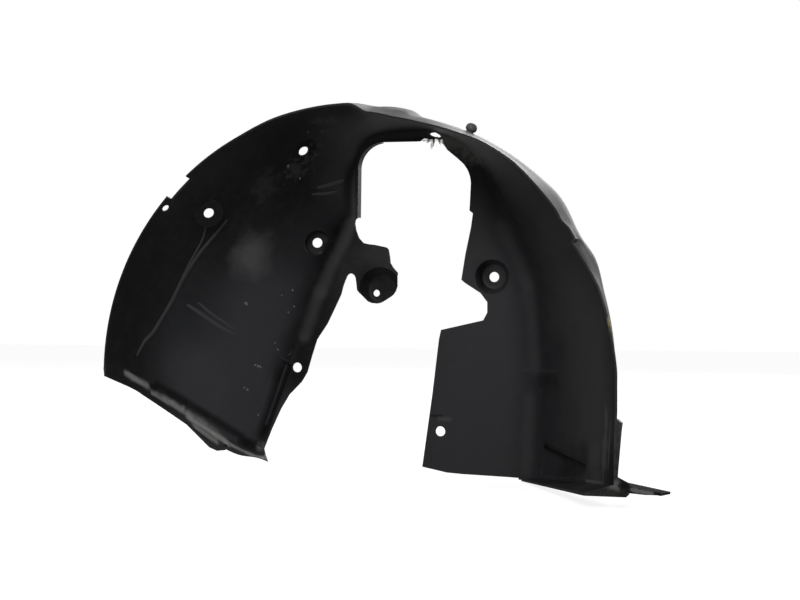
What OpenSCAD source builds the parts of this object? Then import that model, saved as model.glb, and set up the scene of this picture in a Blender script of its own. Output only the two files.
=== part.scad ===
// Front wheel arch liner, moulded in one piece.
// The wheel's axle is the Y axis, the outboard lip lies in the plane Y = 0,
// X runs from the front of the arch to its rear, and Z is up.
// The sheet's wheel side is lofted from one section to the next along the arch,
// and the wall is laid on the far side of it.

/* [Lip] */
// Radius of the outboard lip at the front of the arch's top, on the wheel's side
front_r = 353.5; // [342:0.5:362]
// Radius of the outboard lip over the rear half of the arch, on the wheel's side
rear_r = 342; // [332:1:352]
// Depth below the axle at which the rear half stands on its foot plate
rear_drop = 139; // [125:1:150]

/* [Sheet] */
// Depth from the outboard lip to the inboard wall
depth = 250; // [235:1:270]
// Moulded wall
wall = 2.5; // [2:0.1:3.5]
// Length of the soft fold between the barrel and the inboard wall
fold_len = 34; // [20:1:40]
// How far the rear half swells outward behind the lip
swell = 8; // [4:1:12]
// How far the raised land at the top of the arch stands over the lip behind it
land_rise = 14; // [8:1:18]

/* [Strut opening] */
// Half width of the opening that the suspension strut passes through
strut_half_w = 84.5; // [78:0.5:86]
// Middle of the strut opening along X
strut_x = 17.5; // [15:0.5:20]
// Top of the strut opening above the axle
strut_top = 330; // [322:1:333]
// Depth of the turned edge on the front side of the strut opening
turned_edge = 14; // [6:1:20]

/* [Screw seats] */
// Radius of the main fixing holes
bore_r = 7.2; // [6:0.2:8]
// Radius of the two small fixing holes
small_bore_r = 5; // [3:0.5:6]
// Radius of the flat floor of the barrel's seats
seat_r = 17; // [14:0.5:19]
// Depth of the large sunk seat in the rear wall
rear_seat_sink = 14; // [8:0.5:16]
// Radius of the flat floor of that seat
rear_seat_r = 18; // [15:0.5:20]
// Depth of the sunk end of the tab beside the strut opening
tab_sink = 13; // [8:0.5:16]
// Radius of the flat floor of that sunk end
tab_seat_r = 21; // [18:0.5:23]

/* [Front foot] */
// Width of the ledge along the front foot's lower edge, at its two ends
ledge_w = 15; // [10:1:18]
// How much wider the ledge is toward its inboard half
ledge_bow = 13; // [4:1:16]
// Length of the flap that runs on from the ledge
flap_len = 85; // [60:1:90]
// How far the flap runs past the ledge's edge
flap_w = 23; // [15:1:27]

/* [Rear foot] */
// Thickness of the foot plate
foot_t = 3; // [2.5:0.1:4]
// How far the foot reaches into the arch at the lip
foot_in = 37; // [30:1:45]
// How much higher the foot meets the lip than its free edge lies
foot_rise = 12; // [8:0.5:14]
// How far the tab stands out behind the lip
tab_out = 60; // [45:1:70]
// Width of the tab along the axle
tab_w = 34; // [24:1:44]
// Depth of the recess in the barrel above the foot
recess_sink = 7; // [4:0.5:9]

/* [Hidden] */
$fn = 48;

// The arch's ends as angles about the axle
front_end = 179;
rear_end = -(rear_drop + foot_t / 2) / rear_r * 180 / PI;
// Angles between which the lip steps down from the front radius to the rear one
lip_step = [85.5, 90.5];
// Rings of the loft, closer together over the raised land at the top and at the lip's tooth
land = [74, 92];
tooth = [30.6, 31, 33.5, 35.6];
ring_angles = concat(
    spread(rear_end, tooth[0], 13), tooth, spread(38, land[0], 10), spread(land[0], land[1], 11),
    spread(land[1], front_end, 24), [front_end]
);

// Slope of the foot plate, which the sections below the axle lean into
foot_lean = 3.4;

// Inboard end of the barrel: arch angle, x, z
fold_path = [
    [rear_end, 186, -rear_drop - foot_t / 2], [0, 194, -5], [25, 186, 125], [45, 152, 215],
    [64, 112, 300], [78, 62, 338], [90, 8, 344], [101, -52, 332], [110, -78, 282],
    [120, -84, 212], [150, -163, 36], [165, -197.5, -46],
    [180, -227, -131]
];
// Shoulder of the section: arch angle, mm inward from the lip, depth, length of its round
shoulder = [
    [rear_end, 8, 50, 36], [0, 7, 52, 42], [18, 1, 55, 42], [26, -4 - swell / 2, 55, 40],
    [32, -swell / 2, 55, 40], [41, -8 - swell, 55, 40], [48, -7 - swell, 55, 40],
    [62, -4 - swell, 55, 40], [77, -swell, 52, 36], [79.5, -land_rise, 50, 24],
    [86, -land_rise, 50, 24], [90, -6, 52, 24], [98, -4, 60, 26], [112, 18, 90, 16],
    [135, 52, 98, 4], [160, 44, 98, 4], [180, 24, 50, 4]
];
// Inboard wall before its edge is cut: arch angle, width, length of the fold's round
wall_width = [
    [rear_end, 186, fold_len], [25, 175, fold_len], [45, 120, fold_len], [60, 44, 16],
    [78, 34, 13], [98, 34, 9], [112, 40, 9], [124, 130, 20], [136, 135, fold_len],
    [144, 90, fold_len - 8], [148, 76, 8], [180, 42, 8]
];

// Points across one section: lip, shoulder round, barrel, fold round, inboard wall
n_lip = 2;
n_shoulder = 5;
n_barrel = 4;
n_fold = 5;
n_wall = 3;

function clamp01(v) = min(max(v, 0), 1);
function ease(v) = let (t = clamp01(v)) t * t * (3 - 2 * t);
function unit(v) = v / norm(v);
function lerp(a, b, t) = a + (b - a) * t;

// Row of a table that holds the angle a, found from the first row up
function table_row(t, a, i = 0) =
    i >= len(t) - 2 || a < t[i + 1][0] ? i : table_row(t, a, i + 1);

function table_slope(t, i) =
    let (lo = max(i - 1, 0), hi = min(i + 1, len(t) - 1))
    (t[hi] - t[lo]) / (t[hi][0] - t[lo][0]);

// Smooth curve through a table's rows, as a row at the angle a
function along(t, a) =
    let (
        i = table_row(t, a),
        h = t[i + 1][0] - t[i][0],
        s = clamp01((a - t[i][0]) / h),
        m0 = table_slope(t, i) * h,
        m1 = table_slope(t, i + 1) * h
    )
    (2 * s ^ 3 - 3 * s ^ 2 + 1) * t[i] + (s ^ 3 - 2 * s ^ 2 + s) * m0
    + (3 * s ^ 2 - 2 * s ^ 3) * t[i + 1] + (s ^ 3 - s ^ 2) * m1;

// From there the lip draws in a little toward the front foot
front_ease = [106, 117];
front_draw = 2.5;
function lip_radius(a) =
    lerp(rear_r, front_r, ease((a - lip_step[0]) / (lip_step[1] - lip_step[0])))
    - front_draw * ease((a - front_ease[0]) / (front_ease[1] - front_ease[0]));

// Rear lip's edge waves in and out of the round, with a tooth where it steps: arch angle, mm outward
lip_wave = [
    [-14, 0], [-6, 2], [2, 2], [9, 0], [20, 0], [24, -3], [27, -5.2], [30.6, -6.3], [31, -0.8],
    [33.5, 0], [35.6, -2.6], [38, 0], [45, 2], [52, 5], [60, 4], [66, 0], [74, -3], [80, -3], [85, 0]
];

// The lip is round above the axle and runs straight down below it
function lip_point(a) =
    let (r = lip_radius(a))
    a < 0 ? [r, 0, a * PI / 180 * r] : [r * cos(a), 0, r * sin(a)];

function fold_point(a) = let (f = along(fold_path, a)) [f[1], depth, f[2]];

// Direction in the inboard wall's plane, square to the fold and into the arch
function inward(a) =
    let (t = unit(fold_point(a - 0.5) - fold_point(a + 0.5)))
    [t[2], 0, -t[0]];

// Round of a corner c between p and q that takes the length u and v of its sides
function round_corner(p, c, q, u, v, n) =
    let (a = c + unit(p - c) * u, b = c + unit(q - c) * v)
    [for (i = [0:n]) let (s = i / n) (1 - s) ^ 2 * a + 2 * s * (1 - s) * c + s ^ 2 * b];

function between(a, b, n) = [for (i = [1:1:n]) lerp(a, b, i / (n + 1))];
function spread(a, b, n) = [for (i = [0:n - 1]) lerp(a, b, i / n)];

function upright_section(a) =
    let (
        lip = lip_point(a),
        fold = fold_point(a),
        sh = along(shoulder, a),
        flat_fold = [fold[0], 0, fold[2]],
        into = unit(flat_fold - lip - 30 * unit(lip)),
        knee = lip + into * sh[1] + [0, sh[2], 0],
        wide = along(wall_width, a),
        edge = fold + inward(a) * wide[1],
        take = min(wide[2], 0.8 * wide[1]),
        lead = min(sh[3], 0.6 * norm(knee - lip)),
        r1 = round_corner(lip, knee, fold, lead, sh[3], n_shoulder),
        r2 = round_corner(knee, fold, edge, take, take, n_fold),
        rim = lip + unit(lip) * lookup(a, lip_wave)
    )
    concat(
        [rim], between(rim, r1[0], n_lip), r1,
        between(r1[n_shoulder], r2[0], n_barrel), r2,
        between(r2[n_fold], edge, n_wall), [edge]
    );

// Below the axle the sections lean into the plane of the foot plate
function section(a) =
    let (lean = tan(foot_lean) * clamp01(a / rear_end))
    [for (p = upright_section(a)) p - [0, 0, lean * p[1]]];

// The front foot's lower edge bows down a little, and so does the ledge that turns off it
bow_shape = [[0, 0], [0.4, 0.6], [0.65, 1], [0.85, 0.95], [1, 0]];
foot_bow = 6;
function bow(y) = along(bow_shape, clamp01(y / depth))[1];
end_section = section(front_end);
before_end = section(front_end - 5);
foot_section = [
    for (j = [0:len(end_section) - 1])
        let (p = end_section[j])
        p + unit(p - before_end[j]) * foot_bow * bow(p[1])
];

// The ledge runs down and toward the wheel
ledge_dir = unit([0.42, -0.74, -0.52]);
function ledge_width(y) = ledge_w + ledge_bow * bow(y);
function ledge_row(row) = [for (p = row) p + ledge_dir * ledge_width(p[1])];

sheet_rows = concat(
    [for (a = ring_angles) if (a < front_end) section(a)],
    [foot_section, ledge_row(foot_section)]
);

// Unit normal of one cell of a grid, on the side away from the wheel
function cell_normal(g, i, j) =
    unit(cross(g[i][j + 1] - g[i + 1][j], g[i + 1][j + 1] - g[i][j]));

// Wall's step off the wheel side at a grid point, mitred where the sheet folds
function wall_step(g, i, j) =
    let (
        rows = [for (k = [max(i - 1, 0):min(i, len(g) - 2)]) k],
        cols = [for (k = [max(j - 1, 0):min(j, len(g[0]) - 2)]) k],
        cells = [for (r = rows) for (c = cols) cell_normal(g, r, c)],
        mean = unit([for (k = [0:2]) sum([for (c = cells) c[k]])]),
        lean = sum([for (c = cells) c * mean]) / len(cells)
    )
    mean * wall / lean;

function sum(v, i = 0) = i >= len(v) ? 0 : v[i] + sum(v, i + 1);

// Closed solid between a grid and the same grid laid off by the wall
module sheet(g) {
    rows = len(g);
    cols = len(g[0]);
    near = rows * cols;
    far_skin = [for (i = [0:rows - 1]) for (j = [0:cols - 1]) g[i][j] + wall_step(g, i, j)];
    near_skin = [for (row = g) for (p = row) p];
    function at(i, j) = i * cols + j;
    skins = [
        for (i = [0:rows - 2]) for (j = [0:cols - 2])
            each [
                [at(i, j), at(i + 1, j), at(i + 1, j + 1)],
                [at(i, j), at(i + 1, j + 1), at(i, j + 1)],
                [near + at(i, j), near + at(i + 1, j + 1), near + at(i + 1, j)],
                [near + at(i, j), near + at(i, j + 1), near + at(i + 1, j + 1)]
            ]
    ];
    ends = [
        for (j = [0:cols - 2]) for (i = [0, rows - 1])
            let (a = at(i, j), b = at(i, j + 1), s = i == 0)
            each [
                s ? [a, b, near + b] : [a, near + b, b],
                s ? [a, near + b, near + a] : [a, near + a, near + b]
            ]
    ];
    sides = [
        for (i = [0:rows - 2]) for (j = [0, cols - 1])
            let (a = at(i, j), b = at(i + 1, j), s = j == 0)
            each [
                s ? [a, near + b, b] : [a, b, near + b],
                s ? [a, near + a, near + b] : [a, near + b, near + a]
            ]
    ];
    polyhedron(concat(far_skin, near_skin), concat(skins, ends, sides));
}

// Point and outward normal of the barrel at an arch angle and a depth
function point_at(s, y) =
    let (i = max([for (k = [0:len(s) - 2]) s[k][1] <= y && s[k + 1][1] > s[k][1] ? k : 0]))
    lerp(s[i], s[i + 1], (y - s[i][1]) / (s[i + 1][1] - s[i][1]));
function barrel_point(a, y) = point_at(section(a), y);

function barrel_normal(a, y) =
    unit(cross(
        barrel_point(a - 2, y) - barrel_point(a + 2, y),
        barrel_point(a, y + 6) - barrel_point(a, y - 6)
    ));

// Arc of points in the X and Z plane
function arc(cx, cz, r, from, to, n) =
    [for (i = [0:n]) let (t = lerp(from, to, i / n)) [cx + r * cos(t), cz + r * sin(t)]];

// Edge of the inboard wall, from the rear panel's foot over the strut to the front foot
strut_rear = strut_x + strut_half_w;
strut_front = strut_x - strut_half_w;
front_arc = 38;
rear_arc = 44;
// Torn edge at the opening's top, with a sliver hanging from it, from the opening's top middle
torn_edge = [
    [58, -21], [50, -14.5], [43.5, -5], [42.5, 1.5], [30.2, 2], [29.2, -9], [28.2, 2.2], [19.5, 3],
    [15, 3.6], [9.5, -0.4], [4, -0.6]
];
inboard_edge = concat(
    [
        [172, -220], [172, -152], [71, -149], [30, -141], [45, -36], [55, 44], [58, 57], [120, 71],
        [126, 82], [126, 97], [116, 110], [94, 124], [88, 129], [94, 166], [strut_rear, 203],
        [strut_rear + 3, 224], [strut_rear - 2, 228]
    ],
    arc(strut_rear - rear_arc, strut_top - 64, rear_arc, 0, 50, 7),
    [for (p = torn_edge) [strut_x + p[0], strut_top + p[1]]],
    arc(strut_front + front_arc, strut_top - front_arc, front_arc, 90, 180, 8),
    [
        [strut_front - 1, 220], [strut_front - 4, 218], [strut_front - 5, 212],
        [strut_front - 3.4, 202.5], [-66, 191], [-59.2, 183.5], [-42, 180.6], [-26, 177.2],
        [-20.6, 173], [-18.8, 162], [-18, 154], [-13.5, 146.8], [-7, 140], [-8, 134],
        [-10.3, 123.5], [-13.8, 113], [-21, 105], [-31.5, 98.5], [-42, 94.8], [-49, 95.6],
        [-54.3, 98], [-59.5, 103.6], [-69, 114.5], [-70, 124], [-71, 131.5],
        [-74, 137.2], [-79.6, 138.8], [-84, 135.8], [-87.5, 128], [-90.5, 120], [-93.5, 108.5],
        [-101, 93], [-115, 65], [-131, 42],
        [-139, 18], [-146.5, -7], [-155, -21], [-175, -41], [-188, -62], [-202, -91], [-212, -115],
        [-215, -122], [-213, -131], [-201.5, -143], [-201.5, -220]
    ]
);

// Stands a shape along the outward direction dir at the point p, with +Z as dir
module stand(p, dir) {
    d = unit(dir);
    translate(p)
        rotate([0, acos(d[2]), atan2(d[1], d[0])])
            children();
}

// A seat is a flat round floor with a hole, square to its own axis, where a fixing sits.
// Its record holds a point and the outward normal of the sheet, its axis,
// the floor's level behind that point, its radius and the draft of the wall around it.
screw_aim = unit([-0.33, 0.94, 0.10]);
seat_draft = 0.25;
function barrel_seat(a, y, share, level) =
    let (n = barrel_normal(a, y))
    [barrel_point(a, y), n, unit(lerp(n, screw_aim, share)), level, seat_r, seat_draft];
function wall_seat(x, z, level, r, draft) =
    [[x, depth, z], [0, 1, 0], [0, 1, 0], level, r, draft];
barrel_seats = [
    barrel_seat(110.6, 122, 0.30, -3.5),
    barrel_seat(135.5, 65, 0.45, -5),
    barrel_seat(127.6, depth - 31, 0.80, 7)
];
wall_seats = [
    wall_seat(133, 133, rear_seat_sink, rear_seat_r, 0.5),
    wall_seat(-34, 116, tab_sink, tab_seat_r, 0.85)
];
seats = concat(barrel_seats, wall_seats);

// A hole's record holds a point on its axis on the wheel side of its wall, the axis and its radius
function seat_hole(s) = [s[0] + s[2] * s[3], s[2], bore_r];
function wall_hole(x, z, sink, r) = [[x, depth + sink, z], [0, 1, 0], r];
lip_hole_at = [139.6, 9];
holes = concat(
    [for (s = barrel_seats) seat_hole(s)],
    [
        wall_hole(133, 133, rear_seat_sink, bore_r), wall_hole(57, -89, 0, bore_r),
        wall_hole(-162, 0, 0, bore_r), wall_hole(-43, 110, tab_sink, small_bore_r),
        [barrel_point(lip_hole_at[0], lip_hole_at[1]), barrel_normal(lip_hole_at[0], lip_hole_at[1]),
            small_bore_r]
    ]
);
seat_reach = 20;
hole_reach = 5;

// Half of space on the far side of the sheet's middle, or on its near side
module far_half(s) {
    span = 160;
    stand(s[0], s[1])
        translate([-span / 2, -span / 2, wall * 0.4])
            cube([span, span, span / 2]);
}

module near_half(s) {
    span = 160;
    stand(s[0], s[1])
        translate([-span / 2, -span / 2, wall * 0.6 - span / 2])
            cube([span, span, span / 2]);
}

// Walls between the sheet and the seat's floor, with the floor itself
module seat_solid(s) {
    level = s[3];
    r = s[4];
    sunk = level + seat_reach;
    intersection() {
        far_half(s);
        stand(s[0], s[2])
            union() {
                translate([0, 0, -seat_reach])
                    cylinder(r1 = r + wall + s[5] * sunk, r2 = r + wall, h = sunk);
                translate([0, 0, level - 0.01])
                    cylinder(r = r + wall, h = wall + 0.01);
            }
    }
    if (level < 5)
        intersection() {
            near_half(s);
            stand(s[0], s[2])
                translate([0, 0, level])
                    cylinder(r1 = r + wall, r2 = r + wall + s[5] * seat_reach, h = seat_reach);
        }
}

// What is open before the seat's floor and behind it, with the hole
module seat_hollow(s) {
    level = s[3];
    r = s[4];
    sunk = level + seat_reach;
    stand(s[0], s[2]) {
        translate([0, 0, -seat_reach])
            cylinder(r1 = r + s[5] * sunk, r2 = r, h = sunk);
        if (level < 5)
            translate([0, 0, level + wall])
                cylinder(r1 = r, r2 = r + s[5] * seat_reach, h = seat_reach);
    }
}

// Turned edge along the front side of the strut opening
module strut_edge() {
    root = 2.2;
    edge_c = [strut_front + front_arc, strut_top - front_arc];
    translate([0, depth + turned_edge + wall, 0])
        rotate([90, 0, 0])
            linear_extrude(turned_edge + root)
                polygon(concat(
                    [[strut_front, 221]],
                    arc(edge_c[0], edge_c[1], front_arc, 180, 96, 8),
                    arc(edge_c[0], edge_c[1], front_arc + wall, 96, 180, 8),
                    [[strut_front - wall, 221]]
                ));
}

// Everything inside the inboard edge, taken off the wall only
module inboard_cut() {
    cut_from = depth - 34;
    cut_to = depth + tab_sink + wall + 2;
    translate([0, cut_to, 0])
        rotate([90, 0, 0])
            linear_extrude(cut_to - cut_from)
                polygon(inboard_edge);
}

// Notch in the front lip: arch angle, length along the lip, depth
notch = [134, 38, 9];
module lip_notch() {
    rotate([0, -notch[0], 0])
        translate([front_r - 40, -5, -notch[1] / 2])
            cube([60, notch[2] + 5, notch[1]]);
}

// Solid between two rings of four corners, which turn clockwise seen from the first ring's side
module four_cornered(first, second) {
    polyhedron(
        concat(first, second),
        [
            [0, 1, 2], [0, 2, 3], [4, 6, 5], [4, 7, 6], [0, 4, 5], [0, 5, 1],
            [1, 5, 6], [1, 6, 2], [2, 6, 7], [2, 7, 3], [3, 7, 4], [3, 4, 0]
        ]
    );
}

// A pocket is four corners on the barrel, each an arch angle, a depth and how far it sinks
rear_recess = [
    [-15.4, 219, recess_sink], [-18.3, 112, recess_sink], [-21.6, 109, 0.4], [-22, 219, 0.4]
];
fold_groove = [
    [155.5, depth - 15, 0.4], [155.5, depth + 7, 8], [178, depth + 7, 8], [178, depth - 13, 0.4]
];
lip_dent = [[-19.4, 108, 0.1], [-18.6, 74, 1.2], [-21.2, 72, 1.4], [-21.6, 108, 1.2]];
pockets = [rear_recess, fold_groove];

function pocket_normal(p) =
    barrel_normal((p[0][0] + p[2][0]) / 2, min((p[0][1] + p[2][1]) / 2, depth - 12));
function pocket_point(c) =
    c[1] < depth ? barrel_point(c[0], c[1]) : fold_point(c[0]) + inward(c[0]) * (c[1] - depth);
function pocket_ring(p, lift, sinks, spread_by) =
    let (
        n = pocket_normal(p),
        ring = [for (c = p) pocket_point(c)],
        mid = (ring[0] + ring[1] + ring[2] + ring[3]) / 4
    )
    [for (i = [0:3])
        ring[i] + unit(ring[i] - mid) * spread_by + n * (lift + (sinks ? p[i][2] : 0))];

module pocket_solid(p) {
    four_cornered(
        pocket_ring(p, wall * 0.4, false, wall * 1.4), pocket_ring(p, wall, true, wall * 1.4)
    );
}

module pocket_hollow(p) {
    four_cornered(pocket_ring(p, -1, false, 0), pocket_ring(p, 0, true, 0));
}

// The rear foot slopes down from the barrel to its free edge, seen at three depths:
// depth, x of the free edge, x of the barrel, rise from the free edge to the barrel
foot_z = -rear_drop;
foot_end = depth + 6;
foot_free = [rear_r - foot_in, 174];
foot_stations = [
    [0, foot_free[0], rear_r + 1, foot_rise],
    [50, lerp(foot_free[0], foot_free[1], 50 / foot_end), rear_r - 7, foot_rise - 3],
    [foot_end, foot_free[1], 184, 3.5]
];
function foot_corners(t, lift) =
    let (z = foot_z + lift - t[0] * tan(foot_lean))
    [[t[1], t[0], z], [t[2], t[0], z + t[3]]];

module sloped_foot() {
    for (i = [0, 1])
        let (
            a = foot_corners(foot_stations[i], 0),
            b = foot_corners(foot_stations[i + 1], 0),
            c = foot_corners(foot_stations[i], -foot_t),
            d = foot_corners(foot_stations[i + 1], -foot_t)
        )
        four_cornered([a[0], b[0], b[1], a[1]], [c[0], d[0], d[1], c[1]]);
}

// Short plate behind the lip, level with the foot's free edge
module heel_plate() {
    translate([0, 0, foot_z])
        rotate([-foot_lean, 0, 0])
            translate([0, 0, -foot_t])
                linear_extrude(foot_t)
                    polygon([
                        [rear_r - 1, 0], [rear_r + 15, 0], [rear_r + 11, 60], [rear_r - 6, 60]
                    ]);
}

// Upright web across the front of the foot, the heel and the tab, from the lip's plane inward
module foot_web() {
    slot = [rear_r + 7.6, foot_z + 8.8, 6.2, 1.6];
    translate([0, foot_t, 0])
        rotate([90, 0, 0])
            linear_extrude(foot_t)
                difference() {
                    polygon([
                        [foot_free[0], foot_z - foot_t], [rear_r + 15, foot_z - foot_t],
                        [rear_r + 15.5, foot_z + 2.5], [rear_r + tab_out - 22, foot_z + 0.8],
                        [rear_r + tab_out - 3, foot_z + 1], [rear_r + tab_out - 3, foot_z + 4.4],
                        [rear_r + 19, foot_z + 11], [rear_r + 19, foot_z + 14],
                        [rear_r + 1.5, foot_z + 23], [rear_r + 0.5, foot_z + foot_rise],
                        [foot_free[0], foot_z]
                    ]);
                    translate([slot[0], slot[1]])
                        square([slot[2], slot[3]]);
                }
}

// Tab that stands out behind the lip, a little above the heel
tab_rise = 12.5;
tab_slope = 9.5;
module foot_tab() {
    translate([rear_r + 2, 0, foot_z + tab_rise])
        rotate([0, tab_slope, 0])
            translate([0, 0, -foot_t])
                linear_extrude(foot_t)
                    polygon([[0, 0], [tab_out - 4, 0], [tab_out + 4, tab_w], [0, tab_w + 6]]);
}

// Upright rib on the far side of the rear lip, down to the foot's web
module lip_rib() {
    rib_w = 12;
    translate([0, rib_w + 2, 0])
        rotate([90, 0, 0])
            linear_extrude(rib_w)
                polygon([
                    [rear_r + 1, -46], [rear_r + 4.5, -47], [rear_r + 9.3, -51.5],
                    [rear_r + 7.9, -62], [rear_r + 4, -106], [rear_r + 3, foot_z + 20],
                    [rear_r + 8, foot_z + tab_rise - foot_t / 2],
                    [rear_r + 1, foot_z + tab_rise - foot_t / 2]
                ]);
}

// Raised corner of the front foot, between the panel and the ledge, from the lip to its step
raised_to = 76;
raised_by = 1.5;
module raised_corner() {
    function ring(y) =
        let (
            fold = point_at(foot_section, y),
            out = barrel_normal(front_end - 4, max(y, 8)) * wall / 2
        )
        [
            barrel_point(front_end - raised_by, y) + out * 0.4, fold + out,
            fold + ledge_dir * (ledge_width(y) - 0.5) - out * 0.2
        ];
    a = ring(raised_to);
    b = ring(0.5);
    polyhedron(
        concat(a, b),
        [[0, 1, 2], [3, 5, 4], [0, 3, 4], [0, 4, 1], [1, 4, 5], [1, 5, 2], [2, 5, 3], [2, 3, 0]]
    );
}

// Knob on the far side of the rear lip: arch angle, depth
knob_at = [65.75, 58];
module lip_knob() {
    n = barrel_normal(knob_at[0], knob_at[1]);
    stand(barrel_point(knob_at[0], knob_at[1]) + n * wall * 0.6, n)
        rotate_extrude($fn = 32)
            polygon([
                [0, 0], [4.4, 0], [4.8, 1.4], [6.9, 3.6], [7.5, 6.6], [6.6, 10], [3.6, 12.6], [0, 13]
            ]);
}

// Torn hole over the opening, with the shallow dimple over the front foot's bore
torn_hole = [
    [24.2, 9.4], [28.8, 10.9], [35.3, 9.9], [41.1, 4.9], [37, 4], [32.1, 5.1], [27.2, 6.8]
];
module torn_hollow() {
    translate([0, depth + 8, 0])
        rotate([90, 0, 0])
            linear_extrude(18)
                polygon([for (p = torn_hole) [strut_x + p[0], strut_top + p[1]]]);
}

dimple = [153, 243.5, 6.5, 1.4];
module dimple_hollow() {
    n = barrel_normal(dimple[0], dimple[1] - 4);
    stand(barrel_point(dimple[0], dimple[1]) - n * 3, n)
        cylinder(r = dimple[2], h = 3 + dimple[3], $fn = 32);
}

// Flap that runs on from the ledge's edge, inside the thickness of the wall
flap_end = depth - 52;
module flap() {
    skin = 0.4;
    root = 3;
    end = point_at(foot_section, flap_end);
    edge_dir = unit(end - point_at(foot_section, flap_end - 75));
    p = end + ledge_dir * (ledge_width(flap_end) - 1);
    up = unit(cross(edge_dir, ledge_dir));
    side = cross(up, edge_dir);
    multmatrix([
        [edge_dir[0], side[0], up[0], p[0]],
        [edge_dir[1], side[1], up[1], p[1]],
        [edge_dir[2], side[2], up[2], p[2]],
        [0, 0, 0, 1]
    ])
        translate([0, 0, skin])
            linear_extrude(wall - 2 * skin)
                polygon([
                    [-flap_len, -root], [-flap_len + 2, 0], [-flap_len * 0.52, flap_w],
                    [-flap_len * 0.32, flap_w - 3], [-5, 5], [0, -root]
                ]);
}

module liner() {
    color("#1d1e21")
        difference() {
            union() {
                sheet(sheet_rows);
                for (s = seats)
                    seat_solid(s);
                for (p = pockets)
                    pocket_solid(p);
                strut_edge();
                sloped_foot();
                heel_plate();
                foot_web();
                foot_tab();
                lip_rib();
                lip_knob();
                raised_corner();
                flap();
            }
            for (s = seats)
                seat_hollow(s);
            for (p = pockets)
                pocket_hollow(p);
            pocket_hollow(lip_dent);
            dimple_hollow();
            torn_hollow();
            for (h = holes)
                stand(h[0], h[1])
                    translate([0, 0, -hole_reach])
                        cylinder(r = h[2], h = wall + 2 * hole_reach);
            lip_notch();
            inboard_cut();
        }
}

liner();
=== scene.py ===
"""A front wheel arch liner, moulded in thin black plastic, seen from the wheel's side."""
import logging
import math
from dataclasses import dataclass, field
from enum import Enum

import bmesh
import bpy
import numpy as np
from mathutils import Matrix, Vector


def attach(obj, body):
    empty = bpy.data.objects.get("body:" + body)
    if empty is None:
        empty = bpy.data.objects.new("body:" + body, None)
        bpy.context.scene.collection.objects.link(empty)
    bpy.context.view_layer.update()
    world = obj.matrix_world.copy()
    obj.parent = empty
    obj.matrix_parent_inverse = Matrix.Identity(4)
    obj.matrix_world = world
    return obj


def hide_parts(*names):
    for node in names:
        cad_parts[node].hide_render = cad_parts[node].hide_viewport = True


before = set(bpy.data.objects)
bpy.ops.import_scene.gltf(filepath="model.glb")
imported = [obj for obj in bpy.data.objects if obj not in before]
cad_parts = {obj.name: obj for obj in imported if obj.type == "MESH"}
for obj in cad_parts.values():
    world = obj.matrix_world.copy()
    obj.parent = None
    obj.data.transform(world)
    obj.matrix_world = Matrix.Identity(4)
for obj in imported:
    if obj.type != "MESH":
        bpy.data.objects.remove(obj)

LOG = logging.getLogger("wheel_arch_liner")
MM = 0.001
Table = tuple[tuple[float, ...], ...]
Pair = tuple[float, float]
Triple = tuple[float, float, float]
Faces = list[tuple[int, ...]]
BACK = np.array((0.0, 1.0, 0.0))
BOX_FACES: Faces = [(0, 2, 3, 1), (4, 5, 7, 6), (0, 1, 5, 4), (2, 6, 7, 3), (0, 4, 6, 2), (1, 3, 7, 5)]


def unit(v: np.ndarray) -> np.ndarray:
    """Returns v at length one."""
    return v / np.linalg.norm(v)


def ease(v: float) -> float:
    """Returns a soft step from 0 to 1 for v from 0 to 1."""
    t = min(max(v, 0.0), 1.0)
    return t * t * (3 - 2 * t)


def along(table: Table, at: float) -> np.ndarray:
    """Reads a smooth curve through a table's rows.

    Args:
        table: Rows that begin with their place, in rising order.
        at: The place to read.

    Returns:
        The whole row at that place.
    """
    rows = np.array(table, float)
    i = int(np.clip(np.searchsorted(rows[:, 0], at, side="right") - 1, 0, len(rows) - 2))
    h = rows[i + 1, 0] - rows[i, 0]
    s = min(max((at - rows[i, 0]) / h, 0.0), 1.0)

    def slope(k: int) -> np.ndarray:
        """Returns the curve's slope at a row."""
        lo, hi = max(k - 1, 0), min(k + 1, len(rows) - 1)
        return (rows[hi] - rows[lo]) / (rows[hi, 0] - rows[lo, 0])

    m0, m1 = slope(i) * h, slope(i + 1) * h
    return ((2 * s**3 - 3 * s**2 + 1) * rows[i] + (s**3 - 2 * s**2 + s) * m0
            + (3 * s**2 - 2 * s**3) * rows[i + 1] + (s**3 - s**2) * m1)


def arc(cx: float, cz: float, r: float, start: float, end: float, steps: int) -> list[Pair]:
    """Returns points on a circle from one angle to another, in degrees."""
    turns = np.radians(np.linspace(start, end, steps + 1))
    return [(cx + r * math.cos(t), cz + r * math.sin(t)) for t in turns]


class Join(Enum):
    """How one solid is joined to another."""

    ADD = "UNION"
    CUT = "DIFFERENCE"
    COMMON = "INTERSECT"


def mesh_object(name: str, verts: np.ndarray, faces: Faces) -> bpy.types.Object:
    """Makes a mesh object at the origin from points in millimetres.

    Args:
        name: The object's name.
        verts: Points in millimetres.
        faces: Rings of point numbers.

    Returns:
        The linked object.
    """
    mesh = bpy.data.meshes.new(name)
    mesh.from_pydata((np.asarray(verts, float) * MM).tolist(), [], faces)
    obj = bpy.data.objects.new(name, mesh)
    bpy.context.scene.collection.objects.link(obj)
    return obj


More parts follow.
